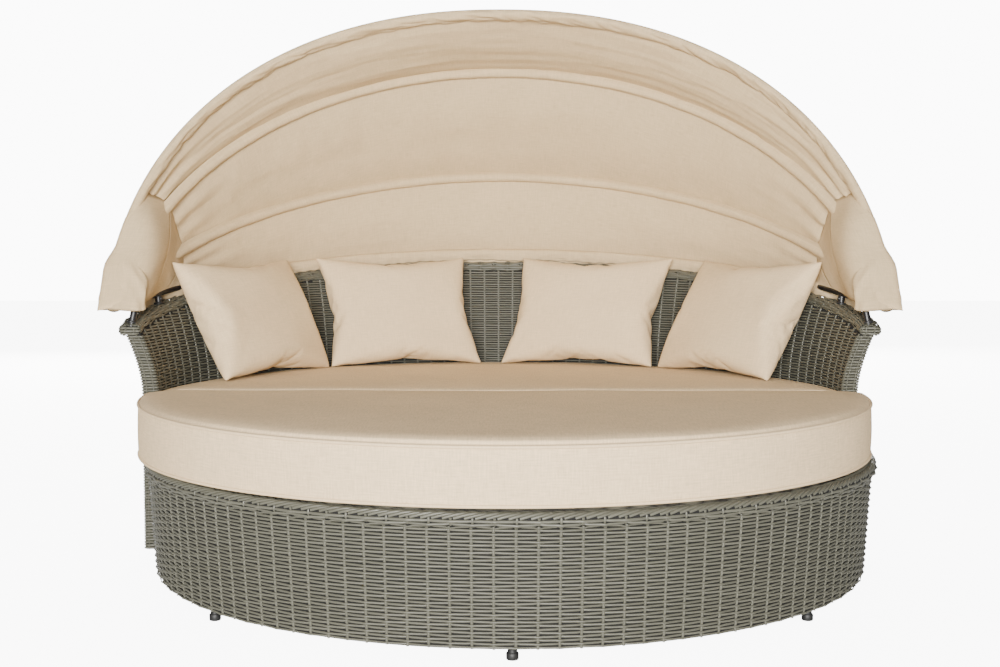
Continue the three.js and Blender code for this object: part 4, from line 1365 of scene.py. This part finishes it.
CLOTH_OUT = TUBE + 0.0032
PANELS = (("front", "middle"), ("middle", "rear"), ("rear", "rail"))
HUB_LINE = np.array([0.0, PIVOT_Y, PIVOT_Z])
PANEL_COLUMNS, PANEL_ROWS = 300, 44
# How far out the cloth lies at the pivots, and how far above or below the wicker's top its side edges end.
HEM_X, HEM_ABOVE, HEM_BELOW = 1.0165, 0.012, 0.0125
# The least share of its rectangle that a sheet's flat area is given.
LEAST_CUT_SHARE = 0.31


def surface_normals(down, right):
    """Directions that stand on a surface, from two directions along it."""
    normal = np.cross(down, right)
    return normal / (np.linalg.norm(normal, axis=-1)[..., None] + 1e-12)


def shell(points, uv, thickness):
    """Closed thin sheet from a grid of points: both faces and the four edges."""
    rows, columns = points.shape[:2]
    down = np.gradient(points, axis=0)
    right = np.gradient(points, axis=1)
    normal = surface_normals(down, right)
    inner = points - normal * thickness
    faces = grid_faces(rows, columns)
    back = grid_faces(rows, columns)[:, ::-1] + rows * columns
    border = np.concatenate(
        [
            np.arange(columns),
            np.arange(1, rows) * columns + columns - 1,
            (rows - 1) * columns + np.arange(columns - 2, -1, -1),
            np.arange(rows - 2, 0, -1) * columns,
        ]
    )
    following = np.roll(border, -1)
    shift = rows * columns
    rim = np.stack([border, border + shift, following + shift, following], -1)
    every = np.concatenate([points.reshape(-1, 3), inner.reshape(-1, 3)])
    return every, np.concatenate([faces, back, rim]), np.concatenate([uv.reshape(-1, 2)] * 2)


def loop_shell(name, points, uv, thickness, material):
    """Closed thin-walled tube of cloth from rings of points: both faces and the two end edges."""
    rows, count = points.shape[:2]
    down = np.gradient(points, axis=0)
    round_way = np.roll(points, -1, 1) - np.roll(points, 1, 1)
    normal = surface_normals(down, round_way)
    outward = points - points.mean(1)[:, None]
    sign = 1 if (normal * outward).sum() > 0 else -1
    inner = points - sign * normal * thickness
    faces = grid_faces(rows, count, round_columns=True)
    back = faces[:, ::-1] + rows * count
    ring = np.arange(count)
    ends = []
    for row, way in ((0, 1), (rows - 1, -1)):
        a, b = row * count + ring, row * count + np.roll(ring, -1)
        ends.append(np.stack([a, b, b + rows * count, a + rows * count][::way], -1))
    every = np.concatenate([points.reshape(-1, 3), inner.reshape(-1, 3)])
    places = np.concatenate([uv.reshape(-1, 2)] * 2)
    return make_piece(name, every, np.concatenate([faces, back, *ends]), [material], places)


def lengths(points, axis):
    """Lengths of a grid's lines along an axis."""
    return np.linalg.norm(np.diff(points, axis=axis), axis=-1).sum(axis)


def area_of(points):
    """Area of a grid of points."""
    first = np.cross(points[1:, :-1] - points[:-1, :-1], points[:-1, 1:] - points[:-1, :-1])
    second = np.cross(points[1:, :-1] - points[1:, 1:], points[:-1, 1:] - points[1:, 1:])
    return float(np.linalg.norm(first, axis=-1).sum() + np.linalg.norm(second, axis=-1).sum()) / 2


def cloth_piece(name, points, sizes, material):
    """A sheet of canopy cloth, with its flat size taken along its rows and columns."""
    run_down, run_across = lengths(points, 0), lengths(points, 1)
    down = np.vstack([np.zeros(points.shape[1]), np.cumsum(np.linalg.norm(np.diff(points, axis=0), axis=-1), 0)])
    across = np.linspace(0, run_across.max(), points.shape[1])
    uv = stacked(across, down)
    every, faces, places = shell(points, uv, sizes.cloth_thick)
    piece = make_piece(name, every, faces, [material], places)
    width, depth = float(run_across.max()), float(run_down.max())
    area = max(area_of(points), LEAST_CUT_SHARE * width * depth)
    return piece


def hem_at(side, share, drop=0.0):
    """Free lower edge of a side, from the pivot back to the rear hem, on the outside. Drop 1 takes it to the wicker."""
    t = SEAM_AT["rail"] * np.asarray(share, float)
    place = rail_at(t)
    away = place - np.array([0, WALL_Y, 0])
    away[..., 2] = 0
    away = unit(away)
    place = place + away * (TUBE + 0.003)
    flare = 1 - np.asarray(share, float)
    place[..., 0] = mix(place[..., 0], HEM_X, flare)
    low = wall_top(np.arctan2(place[..., 1] - WALL_Y, place[..., 0])) + HEM_ABOVE
    high = mix(PIVOT_Z - 0.004, np.maximum(low, PIVOT_Z), smooth(share))
    place[..., 2] = mix(high, low - HEM_BELOW, drop * smooth(np.asarray(share, float) * 3))
    place[..., 0] *= side
    return place


def panel_grid(front, back, sizes, seed):
    """Outer face of the cloth between two bows, from one side seam over to the other."""
    share = np.linspace(0, 1, PANEL_COLUMNS)
    ends = []
    for name in (front, back):
        t = even_shares(name, SEAM_AT[name], 1 - SEAM_AT[name], PANEL_COLUMNS)
        out, _ = bow_sides(name, t)
        ends.append(bow_at(name, t) + out * CLOTH_OUT)
    v = np.linspace(0, 1, PANEL_ROWS)[:, None, None]
    points = mix(ends[0][None], ends[1][None], v)
    inward = HUB_LINE * np.array([0, 1, 1]) - points * np.array([0.55, 1, 1])
    inward = unit(inward)
    v, u = v[..., 0], share[None]
    edge = np.sin(np.pi * u) ** 0.35
    dip = sizes.sag * 4 * v * (1 - v) * edge
    fade = (np.sin(np.pi * v)) ** 0.6
    slack = 1.0 if front == "front" else 0.5
    long_folds = rugged(u * 4.5 + 3.0, v * (5.5 if front == "front" else 3.2) + seed, seed) * slack
    cross_folds = rugged(u * 26, v * 1.6 + 7, seed + 5) * 0.35
    near = np.exp(-v / 0.09) + np.exp(-(1 - v) / 0.09)
    pulls = hills(u * 70, v * 1.3, seed + 9) * near * 0.5
    corner = np.exp(-np.minimum(u, 1 - u) / 0.05)
    fans = np.sin(18 * v + 40 * np.minimum(u, 1 - u)) * corner * 0.9
    folds = (long_folds + cross_folds + fans * 0.6) * fade + pulls * np.sin(np.pi * v) ** 0.25
    return points + inward * (dip + sizes.crease * folds)[..., None]


def pocket_at(z):
    """Cloth pocket round the lower end of the front bow: its middle, half width and half depth at a height."""
    share = smooth((z - 0.738) / 0.062)
    tilt = math.radians(BOW_LIFT["front"])
    along = np.clip((z - PIVOT_Z) / math.sin(tilt) / BOW_REACH["front"], 0, 1)
    bow_x = HUB_X["front"] * (1 - along ** BOW_POWER["front"]) ** (1 / BOW_POWER["front"])
    y = PIVOT_Y + (z - PIVOT_Z) / math.tan(tilt)
    outer = mix(HEM_X, bow_x + 0.0142, share)
    inner = mix(0.8995, bow_x - 0.0142, smooth((z - 0.675) / 0.19))
    return (outer + inner) / 2, y, (outer - inner) / 2, mix(0.024, 0.0148, share)


def side_rows(sheet_edge, side, from_share, to_share, count):
    """Rows from a panel's side edge down to the free hem, outside the pivots."""
    rows = len(sheet_edge)
    share = np.linspace(from_share, to_share, rows)[:, None]
    low = hem_at(side, share[:, 0], 1.0)
    q = np.linspace(0, 1, count + 1)[1:]
    points = mix(sheet_edge[:, None], low[:, None], q[None, :, None])
    x, y, half, _ = pocket_at(points[..., 2])
    near = (1 - share) ** 2 * smooth(q * 4)
    points[..., 0] = side * mix(np.abs(points[..., 0]), x + half - 0.0015, near)
    points[..., 1] = mix(points[..., 1], y, (1 - share) ** 8 * smooth(q * 4))
    return points


def hanging_rows(points):
    """Adds the rows that hang down outside the rail, behind the rolled edge."""
    last = points[-1]
    t = even_shares("rail", SEAM_AT["rail"], 1 - SEAM_AT["rail"], points.shape[1])
    away = last - np.array([0, WALL_Y, 0])
    away[:, 2] = 0
    away = unit(away)
    base = rail_at(t) + away * CLOTH_OUT
    angle = np.arctan2(base[:, 1] - WALL_Y, base[:, 0])
    low = wall_top(angle) - 0.004
    rows = []
    for share in (0.12, 0.3, 0.5, 0.7, 0.85, 0.95, 1.0):
        row = base.copy()
        wave = 0.0035 * np.sin(angle * 46 + 2 * np.sin(angle * 9)) + 0.002 * np.sin(angle * 113)
        row += away * (wave * share)[:, None]
        row[:, 2] = mix(base[:, 2] + 0.004, low + 0.0004 * np.sin(angle * 31), share)
        rows.append(row)
    return np.concatenate([points, np.array(rows)])


# Depth of a sleeve's crumples, how far below the tube its seam lies, and how far its free edge wavers.
SLEEVES = {
    "front": (0.0036, 0.034, 0.006),
    "middle": (0.0013, 0.0165, 0.0012),
    "rear": (0.0013, 0.0165, 0.0012),
    "rail": (0.0032, 0.022, 0.0036),
}


def sleeve_piece(name, sizes, material):
    """Pocket sewn inside the cloth round a bow. The front one is wide, gathered and crumpled."""
    front = name == "front"
    start = {"front": 0.045, "rail": 0.03}.get(name, SEAM_AT[name] - 0.045)
    t = even_shares(name, start, 1 - start, 520)
    place = bow_at(name, t)
    out, ahead = bow_sides(name, t)
    run = distances(place)
    if front:
        wide = sizes.sleeve
        loop = [
            (0.0118, -wide), (0.0121, -0.024), (0.0123, -0.014), (0.0125, -0.005), (0.0118, 0.005), (0.0085, 0.0108),
            (0.002, 0.0132), (-0.005, 0.0122), (-0.0105, 0.008), (-0.0128, 0.001), (-0.0125, -0.008), (-0.0095, -0.017),
            (-0.004, -0.0255), (0.003, -0.0325), (0.0085, -wide - 0.002),
        ]
    elif name == "rail":
        loop = [
            (0.0125, 0.0), (0.0118, -0.007), (0.008, -0.0125), (0.002, -0.017), (-0.003, -0.0225), (-0.0062, -0.0232),
            (-0.0082, -0.018), (-0.0112, -0.010), (-0.0128, -0.002), (-0.0122, 0.005), (-0.008, 0.0105), (0.0, 0.0128),
            (0.008, 0.0105), (0.0118, 0.006),
        ]
    else:
        loop = [
            (0.0085, 0.0175), (0.004, 0.0152), (-0.004, 0.0135), (-0.0105, 0.0088), (-0.0131, 0.002), (-0.0131, -0.002),
            (-0.0105, -0.0088), (-0.004, -0.0135), (0.004, -0.0152), (0.0085, -0.0175), (0.0105, -0.008), (0.0108, 0.0),
            (0.0105, 0.008),
        ]
    loop = np.array(loop)
    knots = np.vstack([loop, loop[:1]])
    way = distances(knots)
    fine = np.linspace(0, way[-1], 45)[:-1]
    shape = np.stack([np.interp(fine, way, knots[:, k]) for k in (0, 1)], -1)
    shape = (np.roll(shape, 1, 0) + 2 * shape + np.roll(shape, -1, 0)) / 4
    ways = unit(np.roll(shape, -1, 0) - np.roll(shape, 1, 0))
    normal = np.stack([ways[:, 1], -ways[:, 0]], -1)
    if (normal * shape).sum() < 0:
        normal = -normal
    depth, seam, loose = SLEEVES[name]
    ends = smooth((np.minimum(t, 1 - t) - 0.095) / 0.03)[:, None] if front else 1.0
    inner = np.clip(-shape[:, 0] / 0.012 + 0.35, 0, 1)
    crumple = rugged(run[:, None] / 0.045, fine / 0.02, 31 if front else 41)
    if front:
        slanted = run[:, None] / 0.055 + fine / 0.03
        crumple = crumple * 0.6 + 1.1 - 2.4 * (1 - np.abs(rugged(slanted, fine / 0.022, 47, 2))) ** 5
    ripple = np.sin(run / 0.0062 + 5 * hills(run / 0.11, 0.5, 33))[:, None]
    gather = ripple * np.exp(-np.abs(shape[:, 1] + seam) / 0.006)
    shift = depth * ends * (crumple * inner + 0.45 * gather * (shape[:, 0] < 0.008))
    shift = np.maximum(shift, np.where(np.abs(shape[:, 1]) < 0.016, -0.0005, -0.004))
    waver = loose * rugged(run / 0.11, 2.5, 35)[:, None]
    below = np.clip(-shape[:, 1] / 0.03, 0, 1)
    narrow = np.where(shape[:, 1] < -0.008, mix(0.42, 1, ends), 1.0) if front else 1.0
    a = shape[:, 0] + normal[:, 0] * shift
    if name == "rail":
        folded = smooth((np.minimum(t, 1 - t) - 0.085) / 0.03)[:, None]
        a = mix(0.0124 + 0.05 * shape[:, 0], a, folded)
        low = wall_top(np.arctan2(place[:, 1] - WALL_Y, place[:, 0])) - 0.004
        longer = mix(((place[:, 2] - low) / 0.0232)[:, None], 1, folded)
    b = shape[:, 1] * narrow + normal[:, 1] * shift + waver * below * ends
    if name == "rail":
        b = np.where(shape[:, 1] < 0, b * longer, b)
    points = place[:, None] + out[:, None] * a[..., None] + ahead[:, None] * b[..., None]
    uv = stacked(run[:, None], fine)
    piece = loop_shell(f"bow_sleeve_{name}", points, uv, sizes.cloth_thick, material)
    return piece


def lining_grid(side, from_share, to_share, upper, rows=16, columns=22):
    """Inner gusset from the side seam down to the hem, inside the bows."""
    share = np.linspace(from_share, to_share, rows)
    low = hem_at(side, share)
    inward = mix(0.02, 0.012, smooth((share - 0.2) / 0.2)) * np.sin(np.pi * share)
    inner = np.abs(low[:, 0]) - mix(0.028, 0.112, (1 - share) ** 2.0) - inward
    low[:, 0] = side * inner
    low[:, 1] -= 0.004
    low[:, 2] += 0.014 * smooth(share * 1.6) - 0.0180 * (1 - smooth(share / 0.16))
    q = np.linspace(0, 1, columns)[None, :, None]
    top = upper[:, None]
    points = mix(top, low[:, None], q)
    share = share[:, None]
    ease = np.sin(np.pi * q[..., 0]) * (1 - share) ** 1.2
    x, y, half, deep = pocket_at(points[..., 2])
    crease = 0.006 * np.exp(-(((q[..., 0] - 0.96 + 0.9 * share) / 0.05) ** 2))
    crease = crease * smooth(share * 9) * smooth(2 - 5 * share)
    natural = np.abs(points[..., 0]) - 0.034 * ease + crease
    below = smooth(q[..., 0] * 4)
    points[..., 0] = side * mix(natural, x + half - 0.0045, below * (1 - smooth(share / 0.17)))
    front = y - deep - 0.0025
    late = mix(np.minimum(points[..., 1], front), points[..., 1], smooth((share - 0.09) / 0.17))
    points[..., 1] = mix(points[..., 1], mix(front, late, smooth(share / 0.12)), below)
    for _ in range(8):
        points[1:-1] = (points[:-2] + 2 * points[1:-1] + points[2:]) / 4
    return points


COVER_LEVELS, COVER_LOW, COVER_X = (0.6345, 0.872), 0.6325, 1.0178


def cover_piece(name, sign, sizes, material):
    """Gathered pocket of cloth round the pivot and the lower end of the front bow."""
    z = np.linspace(*COVER_LEVELS, 50)[:, None]
    turns = np.linspace(0, 2 * np.pi, 65)[:-1]
    middle, y, half_x, half_y = pocket_at(z)
    wide = half_x / 0.0585
    square = [np.sign(c) * np.abs(c) ** 0.75 for c in (np.cos(turns), np.sin(turns))]
    ripple = wide * (0.0022 * np.sin(3 * turns + z * 60) + 0.0014 * np.sin(7 * turns - z * 90))
    x = np.minimum(middle + (half_x + ripple) * square[0], COVER_X)
    y = y + (half_y + ripple) * square[1]
    heights = z - 0.004 * (1 - wide) * np.cos(turns) - 0.004 * np.sin(2 * turns) * wide * (z < 0.7)
    points = stacked(sign * x, y, np.maximum(heights, COVER_LOW))
    cover = loop_shell(f"pivot_cover_{name}", points, stacked(turns * 0.04, z), sizes.cloth_thick, material)
    closed = np.concatenate([points, points[:, :1]], axis=1)
    flat = tuple(round(float(lengths(closed, axis).max()), 3) for axis in (1, 0))
    return cover


class DAYBED_OT_canopy_cloth(Operator):
    """Hang the canopy cloth: panels, sleeves, side gussets and pivot covers"""

    bl_idname = "daybed.canopy_cloth"
    bl_label = "Canopy cloth"

    def execute(self, context):
        scene = context.scene
        sizes = scene.daybed_canopy
        cloth = finish_of("canopy_cloth", scene)
        solids = {"front": "canopy_front_panel", "middle": "canopy_middle_panel", "rear": "canopy_rear_panel"}
        shares = {"front": 0.0, "middle": 1 / 3, "rear": 2 / 3, "rail": 1.0}
        for seed, (front, back) in enumerate(PANELS):
            top = panel_grid(front, back, sizes, 60 + 7 * seed)
            bounds = (shares[front], shares[back])
            right = side_rows(top[:, 0], 1, *bounds, 18)[:, ::-1]
            left = side_rows(top[:, -1], -1, *bounds, 18)
            points = np.concatenate([right, top, left], axis=1)
            if back == "rail":
                panel = hanging_rows(top)
                extra = len(panel) - len(top)
                sides = [np.concatenate([g, np.repeat(g[-1:], extra, 0)]) for g in (right, left)]
                for g, edge in ((sides[0], panel[len(top):, 0]), (sides[1], panel[len(top):, -1])):
                    drop = (edge - top[-1, 0 if g is sides[0] else -1])[:, None]
                    fall = np.linspace(0, 1, g.shape[1])
                    fall = fall if g is sides[0] else fall[::-1]
                    g[len(top):] += drop * (fall**1.5)[None, :, None]
                points = np.concatenate([sides[0], panel, sides[1]], axis=1)
            piece = cloth_piece(
                f"canopy_{front}_cloth", points, sizes, cloth
            )
            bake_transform(piece)
            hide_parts(solids[front], *(("canopy_side_left", "canopy_side_right") if front == "front" else ()))
            for name, sign in SIDES.items():
                rows = np.linspace(0, len(top) - 1, 16).round().astype(int)
                upper = top[rows, 0 if sign > 0 else -1].copy()
                upper[:, 0] -= sign * 0.003
                grid = lining_grid(sign, *bounds, upper)
                grid = grid if sign < 0 else grid[:, ::-1]
                gusset = cloth_piece(
                    f"gusset_{front}_{name}", grid, sizes, cloth
                )
                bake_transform(gusset)
        for name in BOW_BODY:
            sleeve = sleeve_piece(name, sizes, cloth)
            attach(sleeve, BOW_BODY[name])
        for name, sign in SIDES.items():
            cover = cover_piece(name, sign, sizes, cloth)
            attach(cover, "front_bow")
        return {"FINISHED"}


# Stage


WARM = (1.0, 0.985, 0.96)
# Sensor and lens in millimetres, places in metres, and the tilt down in degrees.
CAMERA_SENSOR, CAMERA_LENS, CAMERA_AWAY, CAMERA_HEIGHT, CAMERA_DOWN = 36.0, 50.08, 3.5, 0.802, 3.7


# The floor's brightness, as a share of the backdrop's.
FLOOR_SHARE = 0.78


def soft_light(name, place, target, width, height, power, tint):
    data = bpy.data.lights.new(name, "AREA")
    data.shape = "RECTANGLE"
    data.size, data.size_y = width, height
    data.energy = power
    data.color = tint
    light = bpy.data.objects.new(name, data)
    bpy.context.scene.collection.objects.link(light)
    light.location = place
    aim = Vector(target) - Vector(place)
    light.rotation_euler = aim.to_track_quat("-Z", "Y").to_euler()
    return light


class DAYBED_OT_stage(Operator):
    """Lay the pale floor, set the soft lights and the camera"""

    bl_idname = "daybed.stage"
    bl_label = "Stage"

    def execute(self, context):
        scene = context.scene
        sizes = scene.daybed_stage
        material, tree, shader = start_material("pale_floor", Roughness=0.85, Specular_IOR_Level=0.1)
        where = put(tree, "ShaderNodeTexCoord").outputs["Object"]
        noise = put(tree, "ShaderNodeTexNoise", {"Vector": where, "Scale": 3.0, "Detail": 4.0}).outputs["Fac"]
        tone = maths(tree, "MULTIPLY_ADD", noise, 0.02, 0.99)
        shaded(tree, shader, sizes.floor[:], tone)
        seen = put(tree, "ShaderNodeLightPath").outputs["Is Camera Ray"]
        shader.inputs["Emission Color"].default_value = (1, 1, 1, 1)
        tree.links.new(times(tree, seen, FLOOR_SHARE * sizes.backdrop), shader.inputs["Emission Strength"])
        xs, ys = np.meshgrid(np.linspace(-14, 14, 29), np.linspace(-12, 16, 29), indexing="ij")
        points = np.stack([xs, ys, 0 * xs - 0.0005], -1)
        floor = make_piece("studio_floor", points.reshape(-1, 3), grid_faces(29, 29), [material])
        world = bpy.data.worlds.new("Soft studio")
        scene.world = world
        world.use_nodes = True
        tree = world.node_tree
        back = tree.nodes["Background"]
        back.inputs["Color"].default_value = (1.0, 1.0, 1.0, 1)
        seen = put(tree, "ShaderNodeLightPath").outputs["Is Camera Ray"]
        strength = maths(tree, "MULTIPLY_ADD", seen, sizes.backdrop - sizes.sky, sizes.sky)
        tree.links.new(strength, back.inputs["Strength"])
        soft_light("key_light", (-0.6, -7.4, 1.5), (0, -0.3, 0.7), 3.4, 2.0, sizes.key, WARM)
        soft_light("top_light", (0.6, -1.4, 4.2), (0, -0.2, 0.4), 3.6, 3.2, sizes.top, (1.0, 0.99, 0.975))
        back_light = soft_light("back_light", (-0.5, 6.6, 2.3), (0, 0.4, 0.7), 7.5, 2.6, sizes.back, WARM)
        back_light.visible_camera = False
        camera_data = bpy.data.cameras.new("camera")
        camera_data.sensor_width, camera_data.lens = CAMERA_SENSOR, CAMERA_LENS
        camera = bpy.data.objects.new("camera", camera_data)
        scene.collection.objects.link(camera)
        camera.location = (0, SPLIT_Y - CAMERA_AWAY, CAMERA_HEIGHT)
        camera.rotation_euler = (math.radians(90 - CAMERA_DOWN), 0, 0)
        scene.camera = camera
        return {"FINISHED"}


class DAYBED_PT_parts(Panel):
    """Lists the steps that build the daybed"""

    bl_label = "Daybed"
    bl_idname = "DAYBED_PT_parts"
    bl_space_type = "VIEW_3D"
    bl_region_type = "UI"
    bl_category = "Daybed"

    def draw(self, context):
        for step in STEPS:
            self.layout.operator(step.bl_idname)
        for group in SETTINGS:
            box = self.layout.box()
            holder = getattr(context.scene, group)
            for prop in SETTINGS[group].__annotations__:
                box.prop(holder, prop)


SETTINGS = {
    "daybed_wicker": DAYBED_PG_wicker,
    "daybed_seat": DAYBED_PG_seat,
    "daybed_pillow": DAYBED_PG_pillow,
    "daybed_canopy": DAYBED_PG_canopy,
    "daybed_metal": DAYBED_PG_metal,
    "daybed_stage": DAYBED_PG_stage,
}
STEPS = (
    DAYBED_OT_stage,
    DAYBED_OT_base,
    DAYBED_OT_sofa_wicker,
    DAYBED_OT_ottoman_wicker,
    DAYBED_OT_seat_cushions,
    DAYBED_OT_pillows,
    DAYBED_OT_canopy_metal,
    DAYBED_OT_canopy_cloth,
)


def register():
    for group in SETTINGS.values():
        bpy.utils.register_class(group)
    for name, group in SETTINGS.items():
        setattr(bpy.types.Scene, name, PointerProperty(type=group))
    for step in STEPS:
        bpy.utils.register_class(step)
    bpy.utils.register_class(DAYBED_PT_parts)


def unregister():
    bpy.utils.unregister_class(DAYBED_PT_parts)
    for step in reversed(STEPS):
        bpy.utils.unregister_class(step)
    for name in SETTINGS:
        delattr(bpy.types.Scene, name)
    for group in reversed(SETTINGS.values()):
        bpy.utils.unregister_class(group)


def main():
    register()
    for step in STEPS:
        family, name = step.bl_idname.split(".")
        getattr(getattr(bpy.ops, family), name)()
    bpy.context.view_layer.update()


if __name__ == "__main__":
    main()
